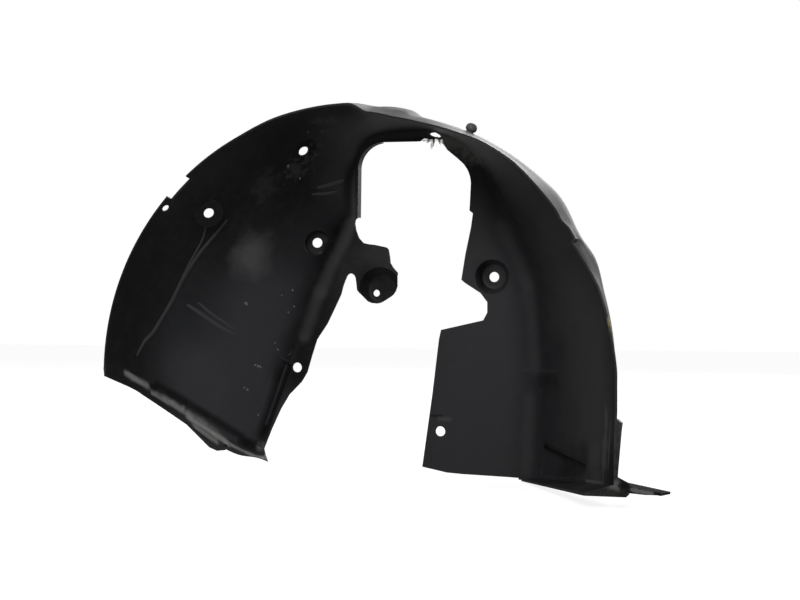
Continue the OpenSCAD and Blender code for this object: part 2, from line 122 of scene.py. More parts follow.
def joined(base: bpy.types.Object, other: bpy.types.Object, how: Join) -> bpy.types.Object:
    """Joins one closed solid to another and drops the second.

    Args:
        base: The solid that is changed.
        other: The solid that is added or taken off.
        how: The way they join.

    Returns:
        The changed base.
    """
    mod = base.modifiers.new("join", "BOOLEAN")
    mod.operation = how.value
    mod.solver = "MANIFOLD"
    mod.object = other
    graph = bpy.context.evaluated_depsgraph_get()
    mesh = bpy.data.meshes.new_from_object(base.evaluated_get(graph))
    base.modifiers.remove(mod)
    old = base.data
    base.data = mesh
    bpy.data.meshes.remove(old)
    bpy.data.objects.remove(other)
    return base


def standing(verts: np.ndarray, point: np.ndarray, direction: np.ndarray) -> np.ndarray:
    """Turns points so that +Z lies along a direction, and moves them to a point."""
    turn = np.array(Vector((0, 0, 1)).rotation_difference(Vector(direction)).to_matrix())
    return verts @ turn.T + point


def wound(outline: list[Pair]) -> list[Pair]:
    """Returns an outline's corners counter-clockwise."""
    area = sum(a[0] * b[1] - b[0] * a[1] for a, b in zip(outline, outline[1:] + outline[:1]))
    return outline if area > 0 else outline[::-1]


def plate_faces(n: int) -> Faces:
    """Returns the faces between a lower and an upper ring of n points."""
    ends: Faces = [tuple(range(n - 1, -1, -1)), tuple(range(n, 2 * n))]
    return ends + [(i, (i + 1) % n, (i + 1) % n + n, i + n) for i in range(n)]


def prism(name: str, outline: list[Pair], low: float, high: float) -> bpy.types.Object:
    """Makes a prism from an outline in X and Z, standing along Y.

    Args:
        name: The object's name.
        outline: Corners in X and Z, in millimetres.
        low: Where it begins along Y.
        high: Where it ends along Y.

    Returns:
        The closed solid.
    """
    n, ring = len(outline), wound(outline)
    verts = np.array([(x, low, z) for x, z in ring] + [(x, high, z) for x, z in ring], float)
    faces: Faces = [tuple(range(n)), tuple(range(2 * n - 1, n - 1, -1))]
    faces += [(i, i + n, (i + 1) % n + n, (i + 1) % n) for i in range(n)]
    return mesh_object(name, verts, faces)


def lathe(name: str, profile: list[Pair], point: np.ndarray, axis: np.ndarray,
          steps: int = 72) -> bpy.types.Object:
    """Turns a closed profile of radius and height round an axis.

    Args:
        name: The object's name.
        profile: Radius and height pairs from the axis at the bottom to the axis at the top.
        point: The origin of the heights, in millimetres.
        axis: The direction of the heights.
        steps: Facets round the axis.

    Returns:
        The closed solid.
    """
    turns = np.linspace(0, 2 * math.pi, steps, endpoint=False)
    verts: list[Triple] = [(0, 0, profile[0][1])]
    for r, h in profile:
        verts += [(r * math.cos(t), r * math.sin(t), h) for t in turns]
    verts.append((0, 0, profile[-1][1]))
    top = len(verts) - 1
    last = 1 + (len(profile) - 1) * steps
    faces: Faces = []
    for i in range(steps):
        j = (i + 1) % steps
        faces.append((0, 1 + j, 1 + i))
        for a in range(1, last, steps):
            faces.append((a + i, a + j, a + steps + j, a + steps + i))
        faces.append((top, last + i, last + j))
    return mesh_object(name, standing(np.array(verts), point, axis), faces)


def block(name: str, low: Triple, high: Triple, point: np.ndarray, axis: np.ndarray) -> bpy.types.Object:
    """Makes a block between two corners, stood along an axis at a point."""
    xs, ys, zs = zip(low, high)
    verts = np.array([(x, y, z) for z in zs for y in ys for x in xs], float)
    return mesh_object(name, standing(verts, point, axis), BOX_FACES)


def four_cornered(name: str, first: np.ndarray, second: np.ndarray) -> bpy.types.Object:
    """Makes a solid between two rings of four corners, which turn clockwise seen from the first's side."""
    faces = [(2, 1, 0), (3, 2, 0), (5, 6, 4), (6, 7, 4), (5, 4, 0), (1, 5, 0),
             (6, 5, 1), (2, 6, 1), (7, 6, 2), (3, 7, 2), (4, 7, 3), (0, 4, 3)]
    return mesh_object(name, np.concatenate([first, second]), faces)


@dataclass
class LinerSheet:
    """The moulded sheet: an arched barrel that turns into a flat inboard wall.

    Sizes are in millimetres, and places along the arch in degrees, from the rear over the top to the front.
    The tables' rows begin with their place along the arch, or for the bow with the share of the depth.

    Attributes:
        step_up: Where the lip steps out to the front radius, and over how many degrees.
        draw_in: Where the front lip is drawn in, and over how many degrees.
        knee_lead: How far inside the lip the shoulder's line aims.
        knee_share: The most of the lip's flat that the shoulder's round may take.
        fold_share: The most of the wall's width that the fold's round may take.
        foot_back: How far back along the arch the front foot's direction is read.
        rings: Sections before the land, on it and after it.
        counts: Points on the lip, the shoulder, the barrel, the fold and the wall.
        land: The stretch over the opening, where the sections stand closer.
        land_from: Where the even sections begin after the tooth.
        probe: How far along and across the arch a normal is read.
        fold_path: The fold's X and Z.
        shoulder: The shoulder's step inward, its depth and how soft its round is.
        wall_width: The inboard wall's width before it is cut, and its fold's round.
        bow_shape: How the front foot's edge bows over the depth.
        tooth: The places of the small tooth in the rear lip.
        lip_wave: How far the lip's rim stands out or in.
    """

    front_r: float = 353.5
    rear_r: float = 342.0
    front_draw: float = 2.5
    depth: float = 250.0
    wall: float = 2.5
    rear_drop: float = 139.0
    foot_t: float = 3.0
    foot_lean: float = 3.4
    front_end: float = 179.0
    ledge_w: float = 15.0
    ledge_bow: float = 13.0
    foot_bow: float = 6.0
    step_up: Pair = (85.5, 5.0)
    draw_in: Pair = (106.0, 11.0)
    knee_lead: float = 30.0
    knee_share: float = 0.6
    fold_share: float = 0.8
    foot_back: float = 5.0
    rings: tuple[int, int, int] = (70, 44, 110)
    counts: tuple[int, ...] = (7, 8, 26, 10, 14)
    land: Pair = (74.0, 92.0)
    land_from: float = 38.0
    ledge_steps: int = 5
    probe: Pair = (2.0, 6.0)
    rear_end: float = field(init=False)
    fold_path: Table = field(init=False)
    shoulder: Table = field(init=False)
    wall_width: Table = field(init=False)
    bow_shape: Table = ((0, 0), (0.4, 0.6), (0.65, 1), (0.85, 0.95), (1, 0))
    tooth: tuple[float, ...] = (30.6, 31.0, 33.5, 35.6)
    lip_wave: Table = (
        (-14, 0), (-6, 2), (2, 2), (9, 0), (20, 0), (24, -3), (27, -5.2), (30.6, -6.3), (31, -0.8),
        (33.5, 0), (35.6, -2.6), (38, 0), (45, 2), (52, 5), (60, 4), (66, 0), (74, -3), (80, -3), (85, 0))
    ledge_dir: np.ndarray = field(default_factory=lambda: unit(np.array((0.42, -0.74, -0.52))))

    def __post_init__(self) -> None:
        """Sets the tables that depend on the sizes."""
        self.rear_end = -(self.rear_drop + self.foot_t / 2) / self.rear_r * 180 / math.pi
        end = self.rear_end
        self.fold_path = (
            (end, 186, -self.rear_drop - self.foot_t / 2), (0, 194, -5), (25, 186, 125), (45, 152, 215),
            (64, 112, 300), (78, 62, 338), (90, 8, 344), (101, -52, 332), (110, -78, 282),
            (120, -84, 212), (150, -163, 36), (165, -197.5, -46), (180, -227, -131))
        self.shoulder = (
            (end, 8, 50, 36), (0, 7, 52, 42), (18, 1, 55, 42), (26, -8, 55, 40), (32, -4, 55, 40),
            (41, -16, 55, 40), (48, -15, 55, 40), (62, -12, 55, 40), (77, -8, 52, 36), (79.5, -14, 50, 24),
            (86, -14, 50, 24), (90, -6, 52, 24), (98, -4, 60, 26), (112, 18, 90, 16), (135, 52, 98, 4),
            (160, 44, 98, 4), (180, 24, 50, 4))
        self.wall_width = (
            (end, 186, 34), (25, 175, 34), (45, 120, 34), (60, 44, 16), (78, 34, 13), (98, 34, 9),
            (112, 40, 9), (124, 130, 20), (136, 135, 34), (144, 90, 26), (148, 76, 8), (180, 42, 8))

    def lip_radius(self, a: float) -> float:
        """Returns the lip's radius at an arch angle."""
        up, drawn = (ease((a - start) / length) for start, length in (self.step_up, self.draw_in))
        return self.rear_r + (self.front_r - self.rear_r) * up - self.front_draw * drawn

    def lip_point(self, a: float) -> np.ndarray:
        """Returns the lip's point: round above the axle, straight down below it."""
        r, t = self.lip_radius(a), math.radians(a)
        return np.array((r, 0, t * r) if a < 0 else (r * math.cos(t), 0, r * math.sin(t)))

    def fold_point(self, a: float) -> np.ndarray:
        """Returns the corner between the barrel and the inboard wall."""
        row = along(self.fold_path, a)
        return np.array((row[1], self.depth, row[2]))

    def inward(self, a: float) -> np.ndarray:
        """Returns the direction in the wall's plane, square to the fold and into the arch."""
        t = unit(self.fold_point(a - 0.5) - self.fold_point(a + 0.5))
        return np.array((t[2], 0, -t[0]))

    @staticmethod
    def rounded(p: np.ndarray, c: np.ndarray, q: np.ndarray, u: float, v: float, n: int) -> list[np.ndarray]:
        """Rounds the corner c between p and q, taking u and v off its sides."""
        a, b = c + unit(p - c) * u, c + unit(q - c) * v
        return [(1 - s) ** 2 * a + 2 * s * (1 - s) * c + s**2 * b for s in np.linspace(0, 1, n + 1)]

    @staticmethod
    def between(a: np.ndarray, b: np.ndarray, n: int) -> list[np.ndarray]:
        """Returns n even points between two ends, without them."""
        return [a + (b - a) * (i / (n + 1)) for i in range(1, n + 1)]

    def section(self, a: float) -> np.ndarray:
        """Makes the sheet's section at an arch angle.

        Args:
            a: The arch angle in degrees.

        Returns:
            Points from the lip to the inboard wall's raw edge.
        """
        lip, fold = self.lip_point(a), self.fold_point(a)
        _, inset, out, soft = along(self.shoulder, a)
        into = unit(np.array((fold[0], 0, fold[2])) - lip - self.knee_lead * unit(lip))
        knee = lip + into * inset + np.array((0, out, 0))
        _, width, turn = along(self.wall_width, a)
        edge = fold + self.inward(a) * width
        take = min(turn, self.fold_share * width)
        lead = min(soft, self.knee_share * float(np.linalg.norm(knee - lip)))
        lip_n, knee_n, barrel_n, fold_n, wall_n = self.counts
        r1 = self.rounded(lip, knee, fold, lead, soft, knee_n)
        r2 = self.rounded(knee, fold, edge, take, take, fold_n)
        rim = lip + unit(lip) * float(np.interp(a, *zip(*self.lip_wave)))
        points = [rim, *self.between(rim, r1[0], lip_n), *r1, *self.between(r1[-1], r2[0], barrel_n), *r2,
                  *self.between(r2[-1], edge, wall_n), edge]
        lean = math.tan(math.radians(self.foot_lean)) * min(max(a / self.rear_end, 0.0), 1.0)
        grid = np.array(points)
        grid[:, 2] -= lean * grid[:, 1]
        return grid

    def bow(self, y: float) -> float:
        """Returns how far along its bow the front foot's edge is at a depth."""
        return float(along(self.bow_shape, min(max(y / self.depth, 0.0), 1.0))[1])

    def ledge_width(self, y: float) -> float:
        """Returns the ledge's width at a depth."""
        return self.ledge_w + self.ledge_bow * self.bow(y)

    def foot_section(self) -> np.ndarray:
        """Returns the front foot's lower edge, which bows down a little."""
        end, before = self.section(self.front_end), self.section(self.front_end - self.foot_back)
        return np.array([p + unit(p - q) * self.foot_bow * self.bow(p[1]) for p, q in zip(end, before)])

    def grid(self) -> np.ndarray:
        """Returns the wheel side of the sheet as rows of points along the arch."""
        low, mid, high = self.rings
        angles = np.concatenate([
            np.linspace(self.rear_end, self.tooth[0], low, endpoint=False), self.tooth,
            np.linspace(self.land_from, self.land[0], low // 2, endpoint=False),
            np.linspace(self.land[0], self.land[1], mid, endpoint=False),
            np.linspace(self.land[1], self.front_end, high, endpoint=False)])
        rows = [self.section(float(a)) for a in angles]
        foot = self.foot_section()
        widths = np.array([self.ledge_width(p[1]) for p in foot])[:, None]
        rows += [foot + self.ledge_dir * widths * s / self.ledge_steps for s in range(self.ledge_steps + 1)]
        return np.array(rows)

    @staticmethod
    def normals(grid: np.ndarray) -> tuple[np.ndarray, np.ndarray]:
        """Finds the grid's normals away from the wheel.

        Args:
            grid: Rows of points.

        Returns:
            The unit normal at each point, and how much longer the wall's step must be there.
        """
        d1, d2 = grid[:-1, 1:] - grid[1:, :-1], grid[1:, 1:] - grid[:-1, :-1]
        cells = np.cross(d1, d2)
        cells /= np.linalg.norm(cells, axis=2, keepdims=True)
        total = np.zeros_like(grid)
        count = np.zeros(grid.shape[:2] + (1,))
        for i, j in ((0, 0), (0, 1), (1, 0), (1, 1)):
            part = (slice(i, i + cells.shape[0]), slice(j, j + cells.shape[1]))
            total[part] += cells
            count[part] += 1
        length = np.linalg.norm(total, axis=2, keepdims=True)
        return total / length, count / length

    @staticmethod
    def point_at(row: np.ndarray, y: float) -> np.ndarray:
        """Returns the point of a section at a depth."""
        hits = [k for k in range(len(row) - 1) if row[k][1] <= y < row[k + 1][1]]
        k = hits[-1] if hits else 0
        return row[k] + (row[k + 1] - row[k]) * ((y - row[k][1]) / (row[k + 1][1] - row[k][1]))

    def barrel_point(self, a: float, y: float) -> np.ndarray:
        """Returns the barrel's point at an arch angle and a depth."""
        return self.point_at(self.section(a), y)

    def barrel_normal(self, a: float, y: float) -> np.ndarray:
        """Returns the barrel's normal away from the wheel."""
        turn, step = self.probe
        across = self.barrel_point(a, y + step) - self.barrel_point(a, y - step)
        return unit(np.cross(self.barrel_point(a - turn, y) - self.barrel_point(a + turn, y), across))

    def solid(self) -> bpy.types.Object:
        """Builds the closed sheet, with its wall laid on the side away from the wheel."""
        near = self.grid()
        normal, reach = self.normals(near)
        far = near + normal * reach * self.wall
        rows, cols = near.shape[:2]
        n = rows * cols

        def at(i: int, j: int) -> int:
            """Returns a grid point's number."""
            return i * cols + j

        faces: Faces = []
        for i in range(rows - 1):
            for j in range(cols - 1):
                a, b, c, d = at(i, j), at(i + 1, j), at(i + 1, j + 1), at(i, j + 1)
                faces += [(a, b, c, d), (n + d, n + c, n + b, n + a)]
        for j in range(cols - 1):
            a, b = at(0, j), at(0, j + 1)
            faces.append((a, b, n + b, n + a))
            a, b = at(rows - 1, j), at(rows - 1, j + 1)
            faces.append((b, a, n + a, n + b))
        for i in range(rows - 1):
            a, b = at(i, 0), at(i + 1, 0)
            faces.append((b, a, n + a, n + b))
            a, b = at(i, cols - 1), at(i + 1, cols - 1)
            faces.append((a, b, n + b, n + a))
        verts = np.concatenate([near.reshape(-1, 3), far.reshape(-1, 3)])
        return mesh_object("liner_sheet", verts, faces)


@dataclass
class ScrewSeat:
    """A flat round floor for a fixing, sunk into the sheet or raised from it.

    Attributes:
        level: The floor's depth behind the sheet's wheel side, negative where it is raised.
        draft: How much the side widens for each millimetre away from the floor.
        reach: How far the side goes on past the sheet, to be cut there.
        span: Half the size of the blocks that stand for the halves of space.
        soft: The size of the corner at the floor, and nick how deep its middle lies.
        halves: Where the far and the near half begin, as shares of the wall, so that they overlap.
        shallow: A floor above this level gets a rim on the wheel side.
    """

    point: np.ndarray
    normal: np.ndarray
    axis: np.ndarray
    level: float
    radius: float = 17.0
    draft: float = 0.25
    wall: float = 2.5
    reach: float = 20.0
    span: float = 80.0
    soft: float = 1.6
    nick: float = 0.3
    halves: Pair = (0.4, 0.6)
    shallow: float = 5.0

    def half(self, far: bool) -> bpy.types.Object:
        """Returns the half of space on the far or the near side of the sheet's middle."""
        s = self.span
        low, high = (self.halves[0] * self.wall, s) if far else (-s, self.halves[1] * self.wall)
        return block("seat_half", (-s, -s, low), (s, s, high), self.point, self.normal)

    def solids(self) -> list[bpy.types.Object]:
        """Builds the walls between the sheet and the floor, with the floor itself."""
        r, sunk = self.radius + self.wall, self.level + self.reach
        side = [(r + self.draft * sunk, -self.reach), (r, self.level), (r, self.level + self.wall)]
        parts = [joined(lathe("seat_side", side, self.point, self.axis), self.half(True), Join.COMMON)]
        if self.level < self.shallow:
            rim = [(r, self.level), (r + self.draft * self.reach, self.level + self.reach)]
            cone = lathe("seat_rim", rim, self.point, self.axis)
            parts.append(joined(cone, self.half(False), Join.COMMON))
        return parts

    def hollows(self) -> list[bpy.types.Object]:
        """Builds what is open before the floor and behind it, with soft corners at the floor."""
        r, d, f = self.radius, self.draft, self.soft
        sunk, nick = self.level + self.reach, self.nick * f
        front = [(r + d * sunk, -self.reach), (r + d * f, self.level - f),
                 (r - nick, self.level - nick), (r - f, self.level)]
        parts = [lathe("seat_front", front, self.point, self.axis)]
        if self.level < self.shallow:
            base = self.level + self.wall
            back = [(r - f, base), (r - nick, base + nick), (r + d * f, base + f),
                    (r + d * self.reach, base + self.reach)]
            parts.append(lathe("seat_back", back, self.point, self.axis))
        return parts


@dataclass
class FixingHole:
    """A round hole for a screw or a clip."""

    point: np.ndarray
    axis: np.ndarray
    radius: float = 7.2
    wall: float = 2.5
    reach: float = 5.0
    facets: int = 48

    def hollow(self) -> bpy.types.Object:
        """Builds what the hole takes out."""
        ends = [(self.radius, -self.reach), (self.radius, self.wall + self.reach)]
        return lathe("hole", ends, self.point, self.axis, self.facets)


@dataclass
class InboardEdge:
    """The cut edge of the inboard wall, from the rear panel's foot over the strut to the front foot.

    Attributes:
        turned: How far the edge turns back behind the wall.
        turned_from: The height where the turned edge begins.
        turned_root: How far it reaches into the wall.
        turned_to: The angle on the front arc where it ends.
        torn: The torn top of the opening, from its middle and its top.
        torn_hole: The hole in the torn strip, in the same way.
    """

    strut_half_w: float = 84.5
    strut_x: float = 17.5
    strut_top: float = 330.0
    front_arc: float = 38.0
    rear_arc: float = 44.0
    turned: float = 14.0
    turned_from: float = 221.0
    turned_root: float = 2.2
    turned_to: float = 96.0
    cut_before: float = 10.0
    cut_behind: float = 8.0
    torn: tuple[Pair, ...] = (
        (58, -21), (50, -14.5), (43.5, -5), (42.5, 1.5), (38, 0.8), (34, 2.6), (30.2, 2),
        (29.2, -9), (28.2, 2.2), (24, 1.6), (19.5, 3), (15, 3.6), (9.5, -0.4), (4, -0.6))
    torn_hole: tuple[Pair, ...] = (
        (24.2, 9.4), (26, 10.8), (28.8, 10.9), (32, 11.3), (35.3, 9.9), (38.6, 7.8), (41.1, 4.9),
        (37, 4), (34.6, 4.9), (32.1, 5.1), (29, 6.4), (27.2, 6.8))

    def outline(self) -> list[Pair]:
        """Returns the edge's corners in X and Z, from the rear panel round to the front foot."""
        rear, front = self.strut_x + self.strut_half_w, self.strut_x - self.strut_half_w
        top = self.strut_top
        return [
            (172, -220), (172, -152), (71, -149), (30, -141), (45, -36), (55, 44), (58, 57), (120, 71),
            (126, 82), (126, 97), (116, 110), (94, 124), (88, 129), (94, 166), (rear, 203),
            (rear + 3, 224), (rear - 2, 228),
            *arc(rear - self.rear_arc, top - 64, self.rear_arc, 0, 50, 18),
            *[(self.strut_x + x, top + z) for x, z in self.torn],
            *arc(front + self.front_arc, top - self.front_arc, self.front_arc, 90, 180, 24),
            (front - 1, 220), (front - 4, 218), (front - 5, 212), (front - 3.4, 202.5), (-66, 191),
            (-59.2, 183.5), (-51, 181.6), (-42, 180.6), (-26, 177.2), (-22.6, 175.8), (-20.6, 173),
            (-18.8, 162), (-18, 154), (-13.5, 146.8), (-7, 140), (-7, 137), (-8, 134), (-10.3, 123.5),
            (-13.8, 113), (-17, 108.4), (-21, 105), (-31.5, 98.5), (-37, 95.8), (-42, 94.8),
            (-49, 95.6), (-54.3, 98), (-59.5, 103.6), (-69, 114.5), (-70, 124), (-71, 131.5),
            (-72, 134.6), (-74, 137.2), (-76.6, 138.6), (-79.6, 138.8), (-82, 137.8), (-84, 135.8),
            (-87.5, 128), (-90.5, 120), (-93.5, 108.5), (-101, 93), (-115, 65), (-131, 42), (-139, 18),
            (-146.5, -7), (-155, -21), (-175, -41), (-188, -62), (-202, -91), (-212, -115),
            (-215, -122), (-213, -131), (-201.5, -143), (-201.5, -220)]

    def torn_hollow(self, depth: float) -> bpy.types.Object:
        """Builds what the torn hole over the opening takes out."""
        outline = [(self.strut_x + x, self.strut_top + z) for x, z in self.torn_hole]
        return prism("torn_hole", outline, depth - self.cut_before, depth + self.cut_behind)

    def turned_edge(self, sheet: LinerSheet) -> bpy.types.Object:
        """Builds the edge that turns back along the front side of the strut opening."""
        front, r = self.strut_x - self.strut_half_w, self.front_arc
        cx, cz, to = front + r, self.strut_top - r, self.turned_to
        outline = [(front, self.turned_from), *arc(cx, cz, r, 180, to, 24),
                   *arc(cx, cz, r + sheet.wall, to, 180, 24), (front - sheet.wall, self.turned_from)]
        face = sheet.depth + sheet.wall
        return prism("turned_edge", outline, face - self.turned_root, face + self.turned)


@dataclass
class Pocket:
    """A recess with four corners.

    Attributes:
        corners: For each corner its place along the arch, its depth and how far it sinks. A depth beyond
            the sheet's own runs on down the inboard wall.
        fold_margin: How far before the fold the recess's direction is read at the latest.
        wider: How far the walls stand out round the recess, and root where they begin, in walls.
        proud: How far before the sheet the cut begins.
    """

    corners: Table
    wall: float = 2.5
    fold_margin: float = 12.0
    wider: float = 1.4
    root: float = 0.4
    proud: float = 1.0

    def ring(self, sheet: LinerSheet, lift: float, sinks: bool, spread: float) -> np.ndarray:
        """Finds the pocket's four corners.

        Args:
            sheet: The sheet that it is in.
            lift: How far the corners stand behind the sheet's wheel side.
            sinks: Whether each corner's own depth is added.
            spread: How far the corners move out from their middle.

        Returns:
            The corners' points.
        """
        c = self.corners
        mid_y = min((c[0][1] + c[2][1]) / 2, sheet.depth - self.fold_margin)
        n = sheet.barrel_normal((c[0][0] + c[2][0]) / 2, mid_y)
        ring = np.array([
            sheet.barrel_point(a, y) if y < sheet.depth
            else sheet.fold_point(a) + sheet.inward(a) * (y - sheet.depth)
            for a, y, _ in c])
        mid = ring.mean(axis=0)
        return np.array([p + unit(p - mid) * spread + n * (lift + (row[2] if sinks else 0))
                         for p, row in zip(ring, c)])

    def solid(self, sheet: LinerSheet) -> bpy.types.Object:
        """Builds the recess's own walls behind the sheet."""
        out = self.wider * self.wall
        return four_cornered("pocket_back", self.ring(sheet, self.root * self.wall, False, out),
                             self.ring(sheet, self.wall, True, out))

    def hollow(self, sheet: LinerSheet) -> bpy.types.Object:
        """Builds what the recess takes out."""
        opening = self.ring(sheet, -self.proud, False, 0)
        return four_cornered("pocket", opening, self.ring(sheet, 0, True, 0))


@dataclass
class RearFoot:
    """The sloped foot, the heel plate behind the lip, their front web, the tab and the upright rib.

    Attributes:
        foot_in: How far inside the barrel the foot's free edge lies at the lip.
        foot_rise: How much higher the foot meets the barrel there.
        bend_at: The depth where the foot's free edge bends.
        far_past: How far the foot runs on past the inboard wall.
        far_free: The free edge's X at that end, far_barrel the barrel side's and far_rise its rise.
        slot: The web's slot, from the heel's corner.
    """

    plate_t: float = 3.0
    foot_in: float = 37.0
    foot_rise: float = 12.0
    tab_out: float = 60.0
    tab_w: float = 34.0
    tab_rise: float = 12.5
    tab_slope: float = 9.5
    rib_w: float = 12.0
    rib_from: float = 2.0
    bend_at: float = 50.0
    far_past: float = 6.0
    far_free: float = 174.0
    far_barrel: float = 184.0
    far_rise: float = 3.5
    slot: tuple[Pair, ...] = ((7.6, 8.8), (13.8, 8.8), (13.8, 10.4), (7.6, 10.4))

    def flat(self, name: str, outline: list[Pair], tilt: Matrix, at: Triple) -> bpy.types.Object:
        """Builds a plate of the foot's thickness from its outline in X and Y, turned and placed."""
        ring = wound(outline)
        verts = np.array([(x, y, h) for h in (-self.plate_t, 0) for x, y in ring], float)
        return mesh_object(name, verts @ np.array(tilt).T + np.array(at), plate_faces(len(ring)))

    def sloped(self, sheet: LinerSheet) -> list[bpy.types.Object]:
        """Builds the foot that slopes down from the barrel to its free edge."""
        r, z, end = sheet.rear_r, -sheet.rear_drop, sheet.depth + self.far_past
        free, bend = r - self.foot_in, self.bend_at
        stations = ((0.0, free, r + 1, self.foot_rise),
                    (bend, free + (self.far_free - free) * bend / end, r - 7, self.foot_rise - 3),
                    (end, self.far_free, self.far_barrel, self.far_rise))

        def corners(row: tuple[float, ...], lift: float) -> list[Triple]:
            """Returns the free edge's point and the barrel's point at one depth."""
            y, x_free, x_barrel, rise = row
            level = z + lift - y * math.tan(math.radians(sheet.foot_lean))
            return [(x_free, y, level), (x_barrel, y, level + rise)]

        parts = []
        for row, after in zip(stations, stations[1:]):
            a, b = corners(row, 0), corners(after, 0)
            c, d = corners(row, -self.plate_t), corners(after, -self.plate_t)
            parts.append(four_cornered("sloped_foot", np.array([a[0], b[0], b[1], a[1]]),
                                       np.array([c[0], d[0], d[1], c[1]])))
        return parts

    def web(self, sheet: LinerSheet) -> bpy.types.Object:
        """Builds the web across the front of the foot, the heel and the tab, with its slot."""
        r, z, t, out = sheet.rear_r, -sheet.rear_drop, self.plate_t, self.tab_out
        outline = [
            (r - self.foot_in, z - t), (r + 15, z - t), (r + 15.5, z + 2.5), (r + out - 22, z + 0.8),
            (r + out - 3, z + 1), (r + out - 3, z + 4.4), (r + 19, z + 11), (r + 19, z + 14),
            (r + 1.5, z + 23), (r + 0.5, z + self.foot_rise), (r - self.foot_in, z)]
        slot = [(r + x, z + h) for x, h in self.slot]
        return joined(prism("foot_web", outline, 0, t), prism("web_slot", slot, -1, t + 1), Join.CUT)

    def solids(self, sheet: LinerSheet) -> list[bpy.types.Object]:
        """Builds the foot, the heel plate, the tab, the web and the rib."""
        r, z = sheet.rear_r, -sheet.rear_drop
        lean = Matrix.Rotation(math.radians(-sheet.foot_lean), 3, "X")
        heel = [(r - 1, 0), (r + 15, 0), (r + 11, 60), (r - 6, 60)]
        slope = Matrix.Rotation(math.radians(self.tab_slope), 3, "Y")
        tab = [(0, 0), (self.tab_out - 4, 0), (self.tab_out + 4, self.tab_w), (0, self.tab_w + 6)]
        low = z + self.tab_rise - self.plate_t / 2
        rib = [(r + 1, -46), (r + 4.5, -47), (r + 9.3, -51.5), (r + 7.9, -62), (r + 4, -106),
               (r + 3, z + 20), (r + 8, low), (r + 1, low)]
        return [*self.sloped(sheet), self.flat("heel_plate", heel, lean, (0, 0, z)), self.web(sheet),
                self.flat("foot_tab", tab, slope, (r + 2, 0, z + self.tab_rise)),
                prism("lip_rib", rib, self.rib_from, self.rib_from + self.rib_w)]


@dataclass
class FrontFlap:
    """The flap that runs on from the ledge's edge, and the raised corner over the ledge.

    Attributes:
        end: The depth where the flap ends, and base how far before it the edge's direction is read.
        skin: How much thinner than the wall the flap is on each side.
        root: How far it reaches into the ledge.
        raised_to: The depth where the raised corner ends, and corner_from where it begins.
        raised_by: How far up the arch it reaches.
        corner_back: How far up the arch its direction is read, and lip_clear at least how deep.
    """

    length: float = 85.0
    width: float = 23.0
    end: float = 198.0
    raised_to: float = 76.0
    raised_by: float = 1.5
    skin: float = 0.4
    root: float = 3.0
    base: float = 75.0
    corner_from: float = 0.5
    corner_back: float = 4.0
    lip_clear: float = 8.0

    def solid(self, sheet: LinerSheet) -> bpy.types.Object:
        """Builds the flap in the ledge's plane."""
        foot = sheet.foot_section()
        end = sheet.point_at(foot, self.end)
        edge_dir = unit(end - sheet.point_at(foot, self.end - self.base))
        up = unit(np.cross(edge_dir, sheet.ledge_dir))
        side = np.cross(up, edge_dir)
        origin = end + sheet.ledge_dir * (sheet.ledge_width(self.end) - 1)
        ring = [(-self.length, -self.root), (0, -self.root), (-5, 5), (-self.length * 0.32, self.width - 3),
                (-self.length * 0.52, self.width), (2 - self.length, 0)]
        levels = (self.skin, sheet.wall - self.skin)
        verts = np.array([origin + u * edge_dir + v * side + h * up for h in levels for u, v in ring])
        return mesh_object("front_flap", verts, plate_faces(len(ring)))

    def raised_corner(self, sheet: LinerSheet) -> bpy.types.Object:
        """Builds the raised corner between the panel and the ledge, from the lip to its step."""
        foot = sheet.foot_section()
        verts = []
        for y in (self.raised_to, self.corner_from):
            fold = sheet.point_at(foot, y)
            n = sheet.barrel_normal(sheet.front_end - self.corner_back, max(y, self.lip_clear))
            out = n * sheet.wall / 2
            verts += [sheet.barrel_point(sheet.front_end - self.raised_by, y) + out * 0.4, fold + out,
                      fold + sheet.ledge_dir * (sheet.ledge_width(y) - 0.5) - out * 0.2]
        faces = [(2, 1, 0), (4, 5, 3), (4, 3, 0), (1, 4, 0), (5, 4, 1), (2, 5, 1), (3, 5, 2), (0, 3, 2)]
        return mesh_object("raised_corner", np.array(verts), faces)


